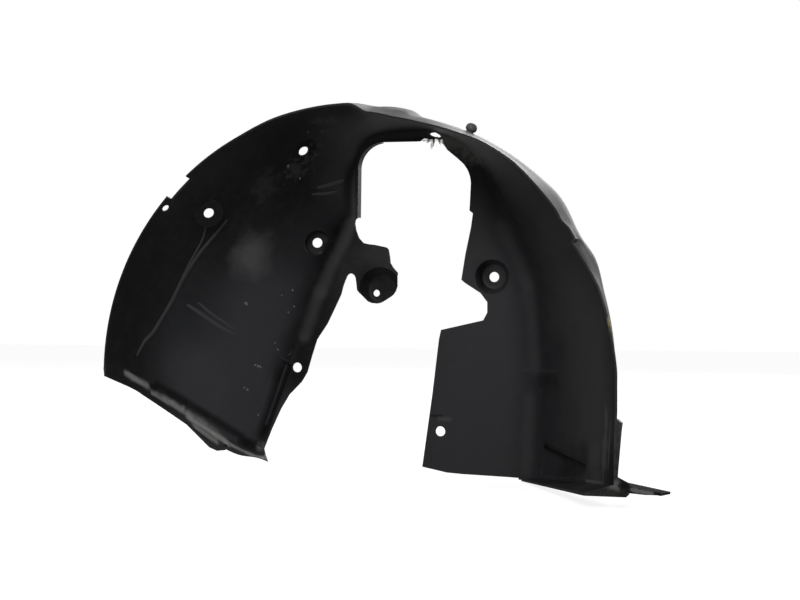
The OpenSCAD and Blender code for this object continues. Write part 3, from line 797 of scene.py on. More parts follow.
@dataclass
class WheelArchLiner:
    """The whole moulding, in one piece.

    Attributes:
        screw_aim: The way that the barrel's screws go in, before each seat's own share of it.
        seat_rows: For each of the barrel's seats its place along the arch, its depth, its share and its level.
        notch: The notch's place along the arch, its length and its depth.
        notch_reach: How far the cut goes inside, outside and before the lip.
        dimple: The dimple's place along the arch, its depth, its radius, how deep it is and its soft edge.
        cut_before: How far before the inboard wall its outline is cut, and cut_behind how far behind the seats.
        facets: Facets round the knob and the dimple.
    """

    sheet: LinerSheet = field(default_factory=LinerSheet)
    edge: InboardEdge = field(default_factory=InboardEdge)
    rear_foot: RearFoot = field(default_factory=RearFoot)
    flap: FrontFlap = field(default_factory=FrontFlap)
    screw_aim: Triple = (-0.33, 0.94, 0.10)
    seat_rows: Table = ((110.6, 122, 0.30, -3.5), (135.5, 65, 0.45, -5), (127.6, 219, 0.80, 7))
    bore_r: float = 7.2
    small_bore_r: float = 5.0
    rear_sink: float = 14.0
    tab_sink: float = 13.0
    rear_seat: Pair = (133.0, 133.0)
    tab_seat: Pair = (-34.0, 116.0)
    tab_hole: Pair = (-43.0, 110.0)
    panel_hole: Pair = (57.0, -89.0)
    strip_hole: Pair = (-162.0, 0.0)
    lip_hole_at: Pair = (139.6, 9.0)
    notch: Triple = (134.0, 38.0, 9.0)
    notch_reach: Triple = (40.0, 20.0, 5.0)
    knob_at: Pair = (65.75, 58.0)
    knob_root: float = 0.6
    knob_profile: tuple[Pair, ...] = (
        (4.4, 0), (4.8, 1.4), (5.6, 2.4), (6.9, 3.6), (7.4, 5.1), (7.5, 6.6), (7.3, 8.2), (6.6, 10),
        (5.3, 11.5), (3.6, 12.6), (1.6, 13))
    dimple: tuple[float, ...] = (153.0, 243.5, 6.5, 1.4, 0.6)
    cut_before: float = 34.0
    cut_behind: float = 2.0
    facets: int = 40
    recess: Pocket = field(default_factory=lambda: Pocket((
        (-15.4, 219, 7), (-18.3, 112, 7), (-21.6, 109, 0.4), (-22, 219, 0.4))))
    groove: Pocket = field(default_factory=lambda: Pocket((
        (155.5, 235, 0.4), (155.5, 257, 8), (178, 257, 8), (178, 237, 0.4))))
    dent: Pocket = field(default_factory=lambda: Pocket((
        (-19.4, 108, 0.1), (-18.6, 74, 1.2), (-21.2, 72, 1.4), (-21.6, 108, 1.2))))

    def barrel_seats(self) -> list[ScrewSeat]:
        """Returns the seats of the front half's barrel."""
        aim = unit(np.array(self.screw_aim))
        seats = []
        for a, y, share, level in self.seat_rows:
            n = self.sheet.barrel_normal(a, y)
            seats.append(ScrewSeat(self.sheet.barrel_point(a, y), n, unit(n + (aim - n) * share), level))
        return seats

    def wall_seats(self) -> list[ScrewSeat]:
        """Returns the sunk seats of the inboard wall."""
        rows = ((*self.rear_seat, self.rear_sink, 18.0, 0.5), (*self.tab_seat, self.tab_sink, 21.0, 0.85))
        return [ScrewSeat(np.array((x, self.sheet.depth, z)), BACK, BACK, sink, radius, draft)
                for x, z, sink, radius, draft in rows]

    def holes(self) -> list[FixingHole]:
        """Returns every fixing hole."""
        large, small, sheet = self.bore_r, self.small_bore_r, self.sheet
        found = [FixingHole(s.point + s.axis * s.level, s.axis, large) for s in self.barrel_seats()]
        for (x, z), sink, r in ((self.rear_seat, self.rear_sink, large), (self.panel_hole, 0, large),
                                (self.strip_hole, 0, large), (self.tab_hole, self.tab_sink, small)):
            found.append(FixingHole(np.array((x, sheet.depth + sink, z)), BACK, r))
        lip, normal = sheet.barrel_point(*self.lip_hole_at), sheet.barrel_normal(*self.lip_hole_at)
        return [*found, FixingHole(lip, normal, small)]

    def lip_notch(self) -> bpy.types.Object:
        """Builds what the notch takes out of the front lip."""
        a, length, deep = self.notch
        t = math.radians(a)
        out = np.array((math.cos(t), 0, math.sin(t)))
        r = self.sheet.front_r
        inside, outside, before = self.notch_reach
        along_lip = np.array((-math.sin(t), 0, math.cos(t)))
        corners = [out * u + along_lip * v + np.array((0, y, 0)) for v in (-length / 2, length / 2)
                   for y in (-before, deep) for u in (r - inside, r + outside)]
        return mesh_object("lip_notch", np.array(corners), BOX_FACES)

    def knob(self) -> bpy.types.Object:
        """Builds the knob on the far side of the rear lip."""
        n = self.sheet.barrel_normal(*self.knob_at)
        foot = self.sheet.barrel_point(*self.knob_at) + n * self.sheet.wall * self.knob_root
        return lathe("lip_knob", list(self.knob_profile), foot, n, self.facets)

    def dimple_hollow(self) -> bpy.types.Object:
        """Builds what the dimple over the front foot's hole takes out."""
        a, y, r, deep, soft = self.dimple
        n = self.sheet.barrel_normal(a, y - 4)
        profile = [(r, -3), (r, deep - soft), (r - soft, deep)]
        return lathe("dimple", profile, self.sheet.barrel_point(a, y), n, self.facets)

    def build(self) -> bpy.types.Object:
        """Builds the moulding.

        Returns:
            One closed mesh object in the part's frame.
        """
        body = self.sheet.solid()
        seats = self.barrel_seats() + self.wall_seats()
        added = [solid for seat in seats for solid in seat.solids()]
        added.append(self.edge.turned_edge(self.sheet))
        added += self.rear_foot.solids(self.sheet)
        added += [self.flap.solid(self.sheet), self.flap.raised_corner(self.sheet), self.knob()]
        added += [pocket.solid(self.sheet) for pocket in (self.recess, self.groove)]
        for solid in added:
            body = joined(body, solid, Join.ADD)
        taken = [hollow for seat in seats for hollow in seat.hollows()]
        taken += [hole.hollow() for hole in self.holes()]
        taken += [pocket.hollow(self.sheet) for pocket in (self.recess, self.groove, self.dent)]
        taken += [self.lip_notch(), self.dimple_hollow(), self.edge.torn_hollow(self.sheet.depth)]
        cut_to = self.sheet.depth + self.tab_sink + self.sheet.wall + self.cut_behind
        taken.append(prism("inboard_cut", self.edge.outline(), self.sheet.depth - self.cut_before, cut_to))
        for hollow in taken:
            body = joined(body, hollow, Join.CUT)
        body.name = "liner_moulding"
        return body


def smoothed(obj: bpy.types.Object, angle: float = 38.0, merge: float = 2e-6) -> bpy.types.Object:
    """Shades a mesh smooth up to an angle in degrees, after points nearer than merge metres are merged."""
    bm = bmesh.new()
    bm.from_mesh(obj.data)
    bmesh.ops.remove_doubles(bm, verts=bm.verts, dist=merge)
    bmesh.ops.dissolve_degenerate(bm, edges=bm.edges, dist=merge)
    bm.to_mesh(obj.data)
    bm.free()
    obj.data.shade_smooth()
    obj.data.set_sharp_from_angle(angle=math.radians(angle))
    return obj


class Wires:
    """Adds nodes to one tree and wires them."""

    def __init__(self, tree: bpy.types.NodeTree) -> None:
        """Keeps the tree."""
        self.tree = tree

    def add(self, kind: str, inputs: dict[str | int, object] | None = None,
            **props: object) -> bpy.types.Node:
        """Adds one node.

        Args:
            kind: The node's type name.
            inputs: Values, or output sockets to link, by input name or number.
            props: Settings of the node itself.

        Returns:
            The new node.
        """
        node = self.tree.nodes.new(kind)
        for name, value in props.items():
            setattr(node, name, value)
        for key, value in (inputs or {}).items():
            if isinstance(value, bpy.types.NodeSocket):
                self.link(value, node.inputs[key])
            else:
                node.inputs[key].default_value = value
        return node

    def link(self, source: bpy.types.NodeSocket, target: bpy.types.NodeSocket) -> None:
        """Links an output to an input."""
        self.tree.links.new(source, target)

    def math(self, operation: str, a: object, b: object = 0.0) -> bpy.types.NodeSocket:
        """Adds a Math node and returns its output."""
        return self.add("ShaderNodeMath", {0: a, 1: b}, operation=operation).outputs[0]

    def vector(self, operation: str, a: object, b: object, out: int = 0) -> bpy.types.NodeSocket:
        """Adds a Vector Math node and returns its vector, or its value as output 1."""
        return self.add("ShaderNodeVectorMath", {0: a, 1: b}, operation=operation).outputs[out]

    def ramp(self, value: object, low: float, high: float, start: object = 0.0,
             end: object = 1.0) -> bpy.types.NodeSocket:
        """Adds a soft Map Range node and returns its output."""
        node = self.add("ShaderNodeMapRange", {0: value, 1: low, 2: high, 3: start, 4: end},
                        interpolation_type="SMOOTHSTEP")
        return node.outputs[0]

    def blend(self, share: object, a: object, b: object) -> bpy.types.NodeSocket:
        """Mixes two colours and returns the result."""
        node = self.add("ShaderNodeMix", {0: share, 6: a, 7: b}, data_type="RGBA")
        return node.outputs[2]

    def noise(self, at: object, scale: object, detail: float, **props: float) -> bpy.types.NodeSocket:
        """Adds a Noise Texture node and returns its height."""
        values = {"Vector": at, "Scale": scale, "Detail": detail, **props}
        return self.add("ShaderNodeTexNoise", values).outputs[0]

    def group(self, tree: bpy.types.NodeTree, inputs: dict[str, object]) -> bpy.types.NodeSocket:
        """Adds a node group with its values and returns its output."""
        return self.add("ShaderNodeGroup", inputs, node_tree=tree).outputs[0]


class TreeKind(Enum):
    """The two kinds of node group, each with the socket type of its output."""

    EFFECT = ("ShaderNodeTree", "Float")
    SHAPE = ("GeometryNodeTree", "Geometry")


def node_group(name: str, kind: TreeKind, inputs: dict[str, str],
               output: str) -> tuple[Wires, bpy.types.Node, bpy.types.Node]:
    """Starts a node group with named sockets.

    Args:
        name: The group's name.
        kind: Whether it is an effect or a shape.
        inputs: Its inputs' names with their socket types.
        output: The name of its output.

    Returns:
        The group's wires, its input node and its output node.
    """
    tree_type, gives = kind.value
    tree = bpy.data.node_groups.new(name, tree_type)
    for key, socket in inputs.items():
        tree.interface.new_socket(key, in_out="INPUT", socket_type=f"NodeSocket{socket}")
    tree.interface.new_socket(output, in_out="OUTPUT", socket_type=f"NodeSocket{gives}")
    wires = Wires(tree)
    return wires, wires.add("NodeGroupInput"), wires.add("NodeGroupOutput")


def principled(name: str) -> tuple[bpy.types.Material, Wires, bpy.types.Node]:
    """Makes a material and returns it with its wires and its shader."""
    mat = bpy.data.materials.new(name)
    mat.use_nodes = True
    return mat, Wires(mat.node_tree), mat.node_tree.nodes["Principled BSDF"]


class Effects:
    """The effects that the finishes share, each one a node group built once."""

    def __init__(self) -> None:
        """Builds the groups."""
        self.grain = self.make_grain()
        self.dust = self.make_dust()
        self.patch = self.make_patch()
        self.worn_and_highlit = self.make_worn_and_highlit()

    @staticmethod
    def make_grain() -> bpy.types.NodeTree:
        """Builds the fine moulded grain, as a height."""
        wires, given, result = node_group(
            "moulded_grain", TreeKind.EFFECT, {"Vector": "Vector", "Scale": "Float"}, "Height")
        at, scale = given.outputs[0], given.outputs[1]
        fine = wires.noise(at, scale, 3.0)
        slow = wires.noise(at, wires.math("MULTIPLY", scale, 0.02), 2.0)
        total = wires.math("MULTIPLY_ADD", slow, 2.0)
        wires.link(fine, total.node.inputs[2])
        wires.link(total, result.inputs[0])
        return wires.tree

    @staticmethod
    def make_dust() -> bpy.types.NodeTree:
        """Builds cloudy dust, more of it on faces that look up."""
        wires, given, result = node_group("settled_dust", TreeKind.EFFECT, {
            "Vector": "Vector", "Scale": "Float", "Amount": "Float", "Least": "Float"}, "Mask")
        at, scale, amount, least = (given.outputs[i] for i in range(4))
        cloud = wires.noise(at, scale, 5.0, Roughness=0.62)
        facing = wires.add("ShaderNodeSeparateXYZ", {0: wires.add("ShaderNodeNewGeometry").outputs["Normal"]})
        up = wires.ramp(facing.outputs[2], -0.1, 0.7, least, 1.0)
        cover = wires.math("MULTIPLY", wires.ramp(cloud, 0.42, 0.72), up)
        wires.link(wires.math("MULTIPLY", cover, amount), result.inputs[0])
        return wires.tree

    @staticmethod
    def make_patch() -> bpy.types.NodeTree:
        """Builds one soft patch along a line between two places, with a broken outline."""
        wires, given, result = node_group("soft_patch", TreeKind.EFFECT, {
            "Vector": "Vector", "Start": "Vector", "End": "Vector", "Reach": "Float", "Broken": "Float",
            "Scale": "Float"}, "Mask")
        at, start, end, reach, broken, scale = (given.outputs[i] for i in range(6))
        apart = wires.vector("SUBTRACT", at, start)
        span = wires.vector("SUBTRACT", end, start)
        share = wires.math("DIVIDE", wires.vector("DOT_PRODUCT", apart, span, 1),
                           wires.vector("DOT_PRODUCT", span, span, 1))
        share.node.use_clamp = True
        foot = wires.add("ShaderNodeVectorMath", {0: span, "Scale": share}, operation="SCALE").outputs[0]
        far = wires.math("DIVIDE", wires.vector("DISTANCE", apart, foot, 1), reach)
        wave = wires.math("SUBTRACT", wires.noise(at, scale, 4.0), 0.5)
        ragged = wires.math("MULTIPLY", wave, broken)
        wires.link(wires.ramp(wires.math("ADD", far, ragged), 1.0, 0.12), result.inputs[0])
        return wires.tree

    @staticmethod
    def make_worn_and_highlit() -> bpy.types.NodeTree:
        """Builds the rubbed line along edges and corners, which also paints the highlight that rounded edges
        catch.
        """
        wires, given, result = node_group("worn_and_highlit_edges", TreeKind.EFFECT, {
            "Vector": "Vector", "Width": "Float", "Amount": "Float"}, "Mask")
        at, width, amount = (given.outputs[i] for i in range(3))
        plain = wires.add("ShaderNodeNewGeometry").outputs["Normal"]
        rounded = wires.add("ShaderNodeBevel", {"Radius": width}, samples=4).outputs[0]
        edge = wires.ramp(wires.vector("DOT_PRODUCT", plain, rounded, 1), 0.99, 0.80)
        broken = wires.ramp(wires.noise(at, 90.0, 4.0), 0.35, 0.65, 0.3, 1.0)
        rubbed_and_highlit = wires.math("MULTIPLY", edge, broken)
        wires.link(wires.math("MULTIPLY", rubbed_and_highlit, amount), result.inputs[0])
        return wires.tree

    def grained(self, wires: Wires, shader: bpy.types.Node, at: bpy.types.NodeSocket, scale: float,
                strength: float, depth: float) -> None:
        """Lays the moulded grain on a shader's normal."""
        height = wires.group(self.grain, {"Vector": at, "Scale": scale})
        bump = wires.add("ShaderNodeBump", {"Strength": strength, "Distance": depth, "Height": height})
        wires.link(bump.outputs[0], shader.inputs["Normal"])


@dataclass(frozen=True)
class Patch:
    """A soft patch along a line on the liner, with a tint that paints a mark, a shade or a light. Sizes are in
    millimetres.

    Attributes:
        reach: How far it reaches from its line.
        cover: How much of the ground it hides.
        broken: How ragged its outline is, and scale how fine.
        rough: How much it adds to the roughness.
    """

    start: Triple
    end: Triple
    reach: float
    colour: Triple
    cover: float = 0.9
    broken: float = 0.6
    scale: float = 14.0
    rough: float = 0.0

    def mask(self, wires: Wires, effects: Effects, at: bpy.types.NodeSocket) -> bpy.types.NodeSocket:
        """Adds the patch's own mask to a material."""
        return wires.group(effects.patch, {
            "Vector": at, "Start": [v * MM for v in self.start], "End": [v * MM for v in self.end],
            "Reach": self.reach * MM, "Broken": self.broken, "Scale": self.scale})


@dataclass(frozen=True)
class MouldedBlack:
    """Matt black moulded plastic: fine grain, a thin film of road dust, rubbed edges with a painted highlight,
    a few marks, and patches of painted shade and light.

    Attributes:
        dust: How much dust lies in wide clouds, dust_least its share on faces that look down, and
            dust_rough what it adds to the roughness.
        mottle: How much of it lies in small clouds.
        wear_and_highlight: How much the edges are rubbed and given a painted highlight, and
            wear_and_highlight_width how wide, in metres.
        grain: The grain's strength, and grain_depth its depth in metres.
    """

    name: str = "moulded_black"
    colour: Triple = (0.0175, 0.018, 0.0205)
    dusty: Triple = (0.036, 0.035, 0.033)
    rubbed_and_highlit: Triple = (0.075, 0.075, 0.078)
    roughness: float = 0.46
    gloss: float = 0.18
    dust: float = 0.55
    dust_scale: float = 7.0
    dust_least: float = 0.35
    dust_rough: float = 0.22
    mottle: float = 0.22
    mottle_scale: float = 75.0
    mottle_least: float = 0.8
    wear_and_highlight: float = 0.6
    wear_and_highlight_width: float = 0.0012
    grain: float = 0.22
    grain_scale: float = 900.0
    grain_depth: float = 0.0003
    patches: tuple[Patch, ...] = ()

    def material(self, effects: Effects) -> bpy.types.Material:
        """Builds the material.

        Args:
            effects: The shared node groups.

        Returns:
            The material.
        """
        mat, wires, shader = principled(self.name)
        shader.inputs["Specular IOR Level"].default_value = self.gloss
        at = wires.add("ShaderNodeTexCoord").outputs["Object"]
        film = wires.group(effects.dust, {
            "Vector": at, "Scale": self.dust_scale, "Amount": self.dust, "Least": self.dust_least})
        colour = wires.blend(film, (*self.colour, 1), (*self.dusty, 1))
        rough = wires.math("MULTIPLY_ADD", film, self.dust_rough)
        rough.node.inputs[2].default_value = self.roughness
        for patch in self.patches:
            spot = patch.mask(wires, effects, at)
            if patch.rough:
                rough = wires.math("ADD", rough, wires.math("MULTIPLY", spot, patch.rough))
                rough.node.use_clamp = True
            colour = wires.blend(wires.math("MULTIPLY", spot, patch.cover), colour, (*patch.colour, 1))
        mottle = wires.group(effects.dust, {
            "Vector": at, "Scale": self.mottle_scale, "Amount": self.mottle, "Least": self.mottle_least})
        colour = wires.blend(mottle, colour, (*self.dusty, 1))
        # Paler edges: rubbed, and a painted highlight where rounded edges catch the light.
        worn_and_highlit = wires.group(effects.worn_and_highlit, {"Vector": at, "Width": self.wear_and_highlight_width, "Amount": self.wear_and_highlight})
        colour = wires.blend(worn_and_highlit, colour, (*self.rubbed_and_highlit, 1))
        wires.link(colour, shader.inputs["Base Color"])
        wires.link(rough, shader.inputs["Roughness"])
        effects.grained(wires, shader, at, self.grain_scale, self.grain, self.grain_depth)
        return mat


@dataclass(frozen=True)
class StressedPlastic:
    """Torn plastic, whitened where it stretched, or pale dirt: a pale ground with dark clouds."""

    name: str = "stressed_plastic"
    pale: Triple = (0.80, 0.80, 0.78)
    dark: Triple = (0.10, 0.10, 0.098)
    thin: float = 0.0
    roughness: float = 0.7
    cloud: float = 1.4
    cloud_scale: float = 160.0
    cloud_least: float = 0.5
    grain: float = 0.4
    grain_scale: float = 1400.0
    grain_depth: float = 0.0004

    def material(self, effects: Effects) -> bpy.types.Material:
        """Builds the material from the shared grain and dust."""
        mat, wires, shader = principled(self.name)
        shader.inputs["Roughness"].default_value = self.roughness
        shader.inputs["Transmission Weight"].default_value = self.thin
        at = wires.add("ShaderNodeTexCoord").outputs["Object"]
        film = wires.group(effects.dust, {
            "Vector": at, "Scale": self.cloud_scale, "Amount": self.cloud, "Least": self.cloud_least})
        wires.link(wires.blend(film, (*self.pale, 1), (*self.dark, 1)), shader.inputs["Base Color"])
        effects.grained(wires, shader, at, self.grain_scale, self.grain, self.grain_depth)
        return mat


def finished_tree(wires: Wires, shape: bpy.types.NodeSocket, finish: bpy.types.NodeSocket,
                  result: bpy.types.Node) -> bpy.types.NodeTree:
    """Ends a shape's tree with real geometry that has its material, and returns the tree."""
    real = wires.add("GeometryNodeRealizeInstances", {0: shape})
    done = wires.add("GeometryNodeSetMaterial", {"Geometry": real.outputs[0], "Material": finish})
    wires.link(done.outputs[0], result.inputs[0])
    return wires.tree


def grown(obj: bpy.types.Object, tree: bpy.types.NodeTree, values: dict[str, object]) -> bpy.types.Object:
    """Runs a shape's tree on an object and keeps the plain mesh that it makes.

    Args:
        obj: The object with the tree's points.
        tree: The shape's tree.
        values: Its inputs by name.

    Returns:
        The same object without a modifier.
    """
    sockets = {item.name: item.identifier for item in tree.interface.items_tree if item.in_out == "INPUT"}
    mod = obj.modifiers.new(tree.name, "NODES")
    mod.node_group = tree
    for key, value in values.items():
        mod[sockets[key]] = value
    graph = bpy.context.evaluated_depsgraph_get()
    mesh = bpy.data.meshes.new_from_object(obj.evaluated_get(graph))
    obj.modifiers.clear()
    obj.data = mesh
    mesh.shade_smooth()
    return obj


def facing_points(name: str, points: np.ndarray, facing: np.ndarray,
                  radii: list[float] | None = None) -> bpy.types.Object:
    """Makes an open line of edges whose points carry the direction that they face.

    Args:
        name: The object's name.
        points: Its points in millimetres.
        facing: A direction for each point.
        radii: A radius in metres for each point, where the tree needs one.

    Returns:
        The linked object.
    """
    mesh = bpy.data.meshes.new(name)
    mesh.from_pydata((points * MM).tolist(), [(i, i + 1) for i in range(len(points) - 1)], [])
    attribute = mesh.attributes.new("facing", "FLOAT_VECTOR", "POINT")
    attribute.data.foreach_set("vector", facing.astype(np.float32).ravel())
    if radii:
        mesh.attributes.new("radius_here", "FLOAT", "POINT").data.foreach_set("value", radii)
    obj = bpy.data.objects.new(name, mesh)
    bpy.context.scene.collection.objects.link(obj)
    return obj


@dataclass
class RaisedRibs:
    """The low ribs and creases that follow the sheet, swept along their paths. Sizes are in millimetres.

    Each has its name, its width, its height and its path, as places along the arch with their depths.
    """

    steps: int = 48
    sunk: float = 0.45
    ends: float = 0.25
    paths: tuple[tuple[str, float, float, Table], ...] = (
        ("main_crease", 8.5, 1.5, ((134, 97.6), (140, 97.1), (145, 96.3), (151.5, 96.6), (159, 95.6),
                                   (166.5, 80.9), (170, 66.2), (174.5, 52.7))),
        ("fine_crease", 4.0, 1.0, ((138, 74), (141.5, 85.1), (145.5, 89.9), (149.5, 92.3), (153, 94.2))),
        ("lower_rib", 7.0, 1.5, ((157.5, 113), (157.5, 137.1), (157.5, 159.8), (157, 180))),
        ("upper_rib", 5.0, 1.4, ((155.5, 124), (156, 144), (156, 162), (156, 176))),
        ("roof_rib", 7.0, 1.5, ((116.8, 180), (113.5, 214.1), (111.8, 234))),
        ("roof_crease", 5.0, 1.2, ((118.8, 176), (116.4, 204), (114.8, 222))),
        ("lip_streak", 4.0, 1.1, ((-4.5, 66.1), (-13, 67.4), (-20, 70.5))),
        ("outer_streak", 5.0, 1.2, ((-8, 47), (-14.5, 53.9), (-19, 57.4))),
    )

    @staticmethod
    def tree() -> bpy.types.NodeTree:
        """Builds the tree that sweeps a half round along a path that carries its own facing."""
        wires, source, result = node_group("raised_rib", TreeKind.SHAPE, {
            "Path": "Geometry", "Width": "Float", "Height": "Float", "Ends": "Float",
            "Finish": "Material"}, "Rib")
        given = source.outputs
        curve = wires.add("GeometryNodeMeshToCurve", {0: given["Path"]})
        facing = wires.add("GeometryNodeInputNamedAttribute", {"Name": "facing"}, data_type="FLOAT_VECTOR")
        turned = wires.add("GeometryNodeSetCurveNormal", {
            "Curve": curve.outputs[0], "Normal": facing.outputs[0]}, mode="FREE")
        place = wires.add("GeometryNodeSplineParameter").outputs[0]
        middle = wires.math("MULTIPLY", place, wires.math("SUBTRACT", 1.0, place))
        taper = wires.math("POWER", wires.math("MULTIPLY", middle, 4.0), given["Ends"])
        ring = wires.add("GeometryNodeCurvePrimitiveCircle", {"Resolution": 16, "Radius": 1.0})
        half = wires.math("MULTIPLY", given["Width"], 0.5)
        size = wires.add("ShaderNodeCombineXYZ", {0: given["Height"], 1: half, 2: 1.0})
        profile = wires.add("GeometryNodeTransform", {"Geometry": ring.outputs[0], "Scale": size.outputs[0]})
        swept = wires.add("GeometryNodeCurveToMesh", {
            "Curve": turned.outputs[0], "Profile Curve": profile.outputs[0], "Scale": taper,
            "Fill Caps": True})
        return finished_tree(wires, swept.outputs[0], given["Finish"], result)

    def build(self, sheet: LinerSheet, finish: bpy.types.Material) -> list[bpy.types.Object]:
        """Builds every rib.

        Args:
            sheet: The sheet that they follow.
            finish: Their material.

        Returns:
            One plain mesh object for each rib.
        """
        tree = self.tree()
        made = []
        for name, width, height, table in self.paths:
            path = tuple((float(i), *row) for i, row in enumerate(table))
            rows = [along(path, float(t))[1:] for t in np.linspace(0, len(table) - 1, self.steps)]
            facing = np.array([-sheet.barrel_normal(a, y) for a, y in rows])
            points = np.array([sheet.barrel_point(a, y) for a, y in rows]) - facing * height * self.sunk
            made.append(grown(facing_points(name, points, facing), tree, {
                "Width": width * MM, "Height": height * MM, "Ends": self.ends, "Finish": finish}))
        return made


@dataclass
class DirtSpecks:
    """The pale specks that stick to the panel, as flat drops set on it. Sizes are in millimetres.

    Each row is a place along the arch, a depth and a radius.
    """

    places: Table = (
        (149, 174.6, 2.4), (145, 225, 1.6), (160.5, 217, 2.4), (160.6, 213.5, 1.8), (160.3, 220, 1.6),
        (167, 213.2, 2.0), (167, 208.7, 1.5), (140, 216.9, 1.5), (142.5, 207.5, 1.2), (143, 228, 1.2),
        (154, 232, 1.4), (153, 226, 1.2), (116, 120, 1.8), (110, 150, 1.6), (104, 120, 1.8),
        (106, 96, 1.5), (117, 148, 1.5), (171, 236, 1.4))
    height: float = 0.35
    longest: Pair = (0.8, 1.8)
    seed: int = 7

    def tree(self) -> bpy.types.NodeTree:
        """Builds the tree that sets a flat drop on each point, turned to the point's own facing."""
        wires, source, result = node_group("dirt_specks", TreeKind.SHAPE, {
            "Places": "Geometry", "Height": "Float", "Seed": "Int", "Finish": "Material"}, "Specks")
        given = source.outputs
        facing = wires.add("GeometryNodeInputNamedAttribute", {"Name": "facing"}, data_type="FLOAT_VECTOR")
        radius = wires.add("GeometryNodeInputNamedAttribute", {"Name": "radius_here"}, data_type="FLOAT")
        turn = wires.add("FunctionNodeAlignRotationToVector", {"Vector": facing.outputs[0]}, axis="Z")
        least, most = self.longest
        longer = wires.add("FunctionNodeRandomValue", {
            "Min": least, "Max": most, "Seed": given["Seed"]}, data_type="FLOAT")
        wide = wires.math("MULTIPLY", radius.outputs[0], longer.outputs[1])
        size = wires.add("ShaderNodeCombineXYZ", {0: wide, 1: radius.outputs[0], 2: given["Height"]})
        drop = wires.add("GeometryNodeMeshIcoSphere", {"Radius": 1.0, "Subdivisions": 2})
        placed = wires.add("GeometryNodeInstanceOnPoints", {
            "Points": given["Places"], "Instance": drop.outputs[0], "Rotation": turn.outputs[0],
            "Scale": size.outputs[0]})
        return finished_tree(wires, placed.outputs[0], given["Finish"], result)

    def build(self, sheet: LinerSheet, finish: bpy.types.Material) -> bpy.types.Object:
        """Builds all the specks as one plain mesh.

        Args:
            sheet: The sheet that they stick to.
            finish: Their material.

        Returns:
            The mesh object.
        """
        points = np.array([sheet.barrel_point(a, y) for a, y, _ in self.places])
        facing = np.array([-sheet.barrel_normal(a, y) for a, y, _ in self.places])
        obj = facing_points("dirt_specks", points, facing, [r * MM for *_, r in self.places])
        return grown(obj, self.tree(), {"Height": self.height * MM, "Seed": self.seed, "Finish": finish})


@dataclass
class TornFlakes:
    """The ragged, whitened strands that hang from the torn edge over the opening. Sizes are in millimetres.

    Each strand's rows are its place from the top of the opening, across and up, its depth and half its width.
    """

    thick: float = 0.8
    strands: tuple[tuple[tuple[float, float, float, float], ...], ...] = (
        ((29.0, 3.5, 251.2, 3.6), (28.4, -2, 250.2, 2.8), (27.2, -7, 248.6, 1.9), (26.6, -13, 247.0, 0.7)),
        ((22.0, 3.6, 251.2, 3.0), (18.0, 1.4, 250.2, 2.4), (13.0, -0.4, 249.0, 0.8)),
        ((33.0, 4.0, 251.2, 2.8), (37.0, 0.6, 250.0, 2.6), (42.5, -2.4, 248.6, 1.8),
         (46.0, -7.0, 247.6, 0.7)),
        ((24.0, 2.2, 251.0, 2.2), (22.0, -1.6, 249.6, 1.6), (19.0, -3.4, 248.4, 0.6)),
        ((37.5, 1.6, 250.6, 1.8), (38.5, -3.0, 249.0, 1.3), (40.0, -6.6, 248.0, 0.5)))

    def build(self, edge: InboardEdge, finish: bpy.types.Material) -> bpy.types.Object:
        """Builds the strands as one mesh.

        Args:
            edge: The edge that they hang from.
            finish: Their material.

        Returns:
            The mesh object.
        """
        verts: list[Triple] = []
        faces: Faces = []
        for strand in self.strands:
            first = len(verts)
            for k, (x, z, y, half) in enumerate(strand):
                ahead = strand[min(k + 1, len(strand) - 1)]
                behind = strand[max(k - 1, 0)]
                way = unit(np.array((ahead[0] - behind[0], ahead[1] - behind[1])))
                side = np.array((-way[1], way[0])) * half
                for sign, dy in ((1, 0), (1, self.thick), (-1, self.thick), (-1, 0)):
                    verts.append((edge.strut_x + x + sign * side[0], y + dy,
                                  edge.strut_top + z + sign * side[1]))
            last = len(verts) - 4
            for row in range(first, last, 4):
                faces += [(row + i, row + (i + 1) % 4, row + 4 + (i + 1) % 4, row + 4 + i) for i in range(4)]
            faces += [tuple(range(first + 3, first - 1, -1)), tuple(range(last, last + 4))]
        obj = mesh_object("torn_flakes", np.array(verts), faces)
        bm = bmesh.new()
        bm.from_mesh(obj.data)
        bmesh.ops.recalc_face_normals(bm, faces=bm.faces)
        bm.to_mesh(obj.data)
        bm.free()
        obj.data.materials.append(finish)
        return obj


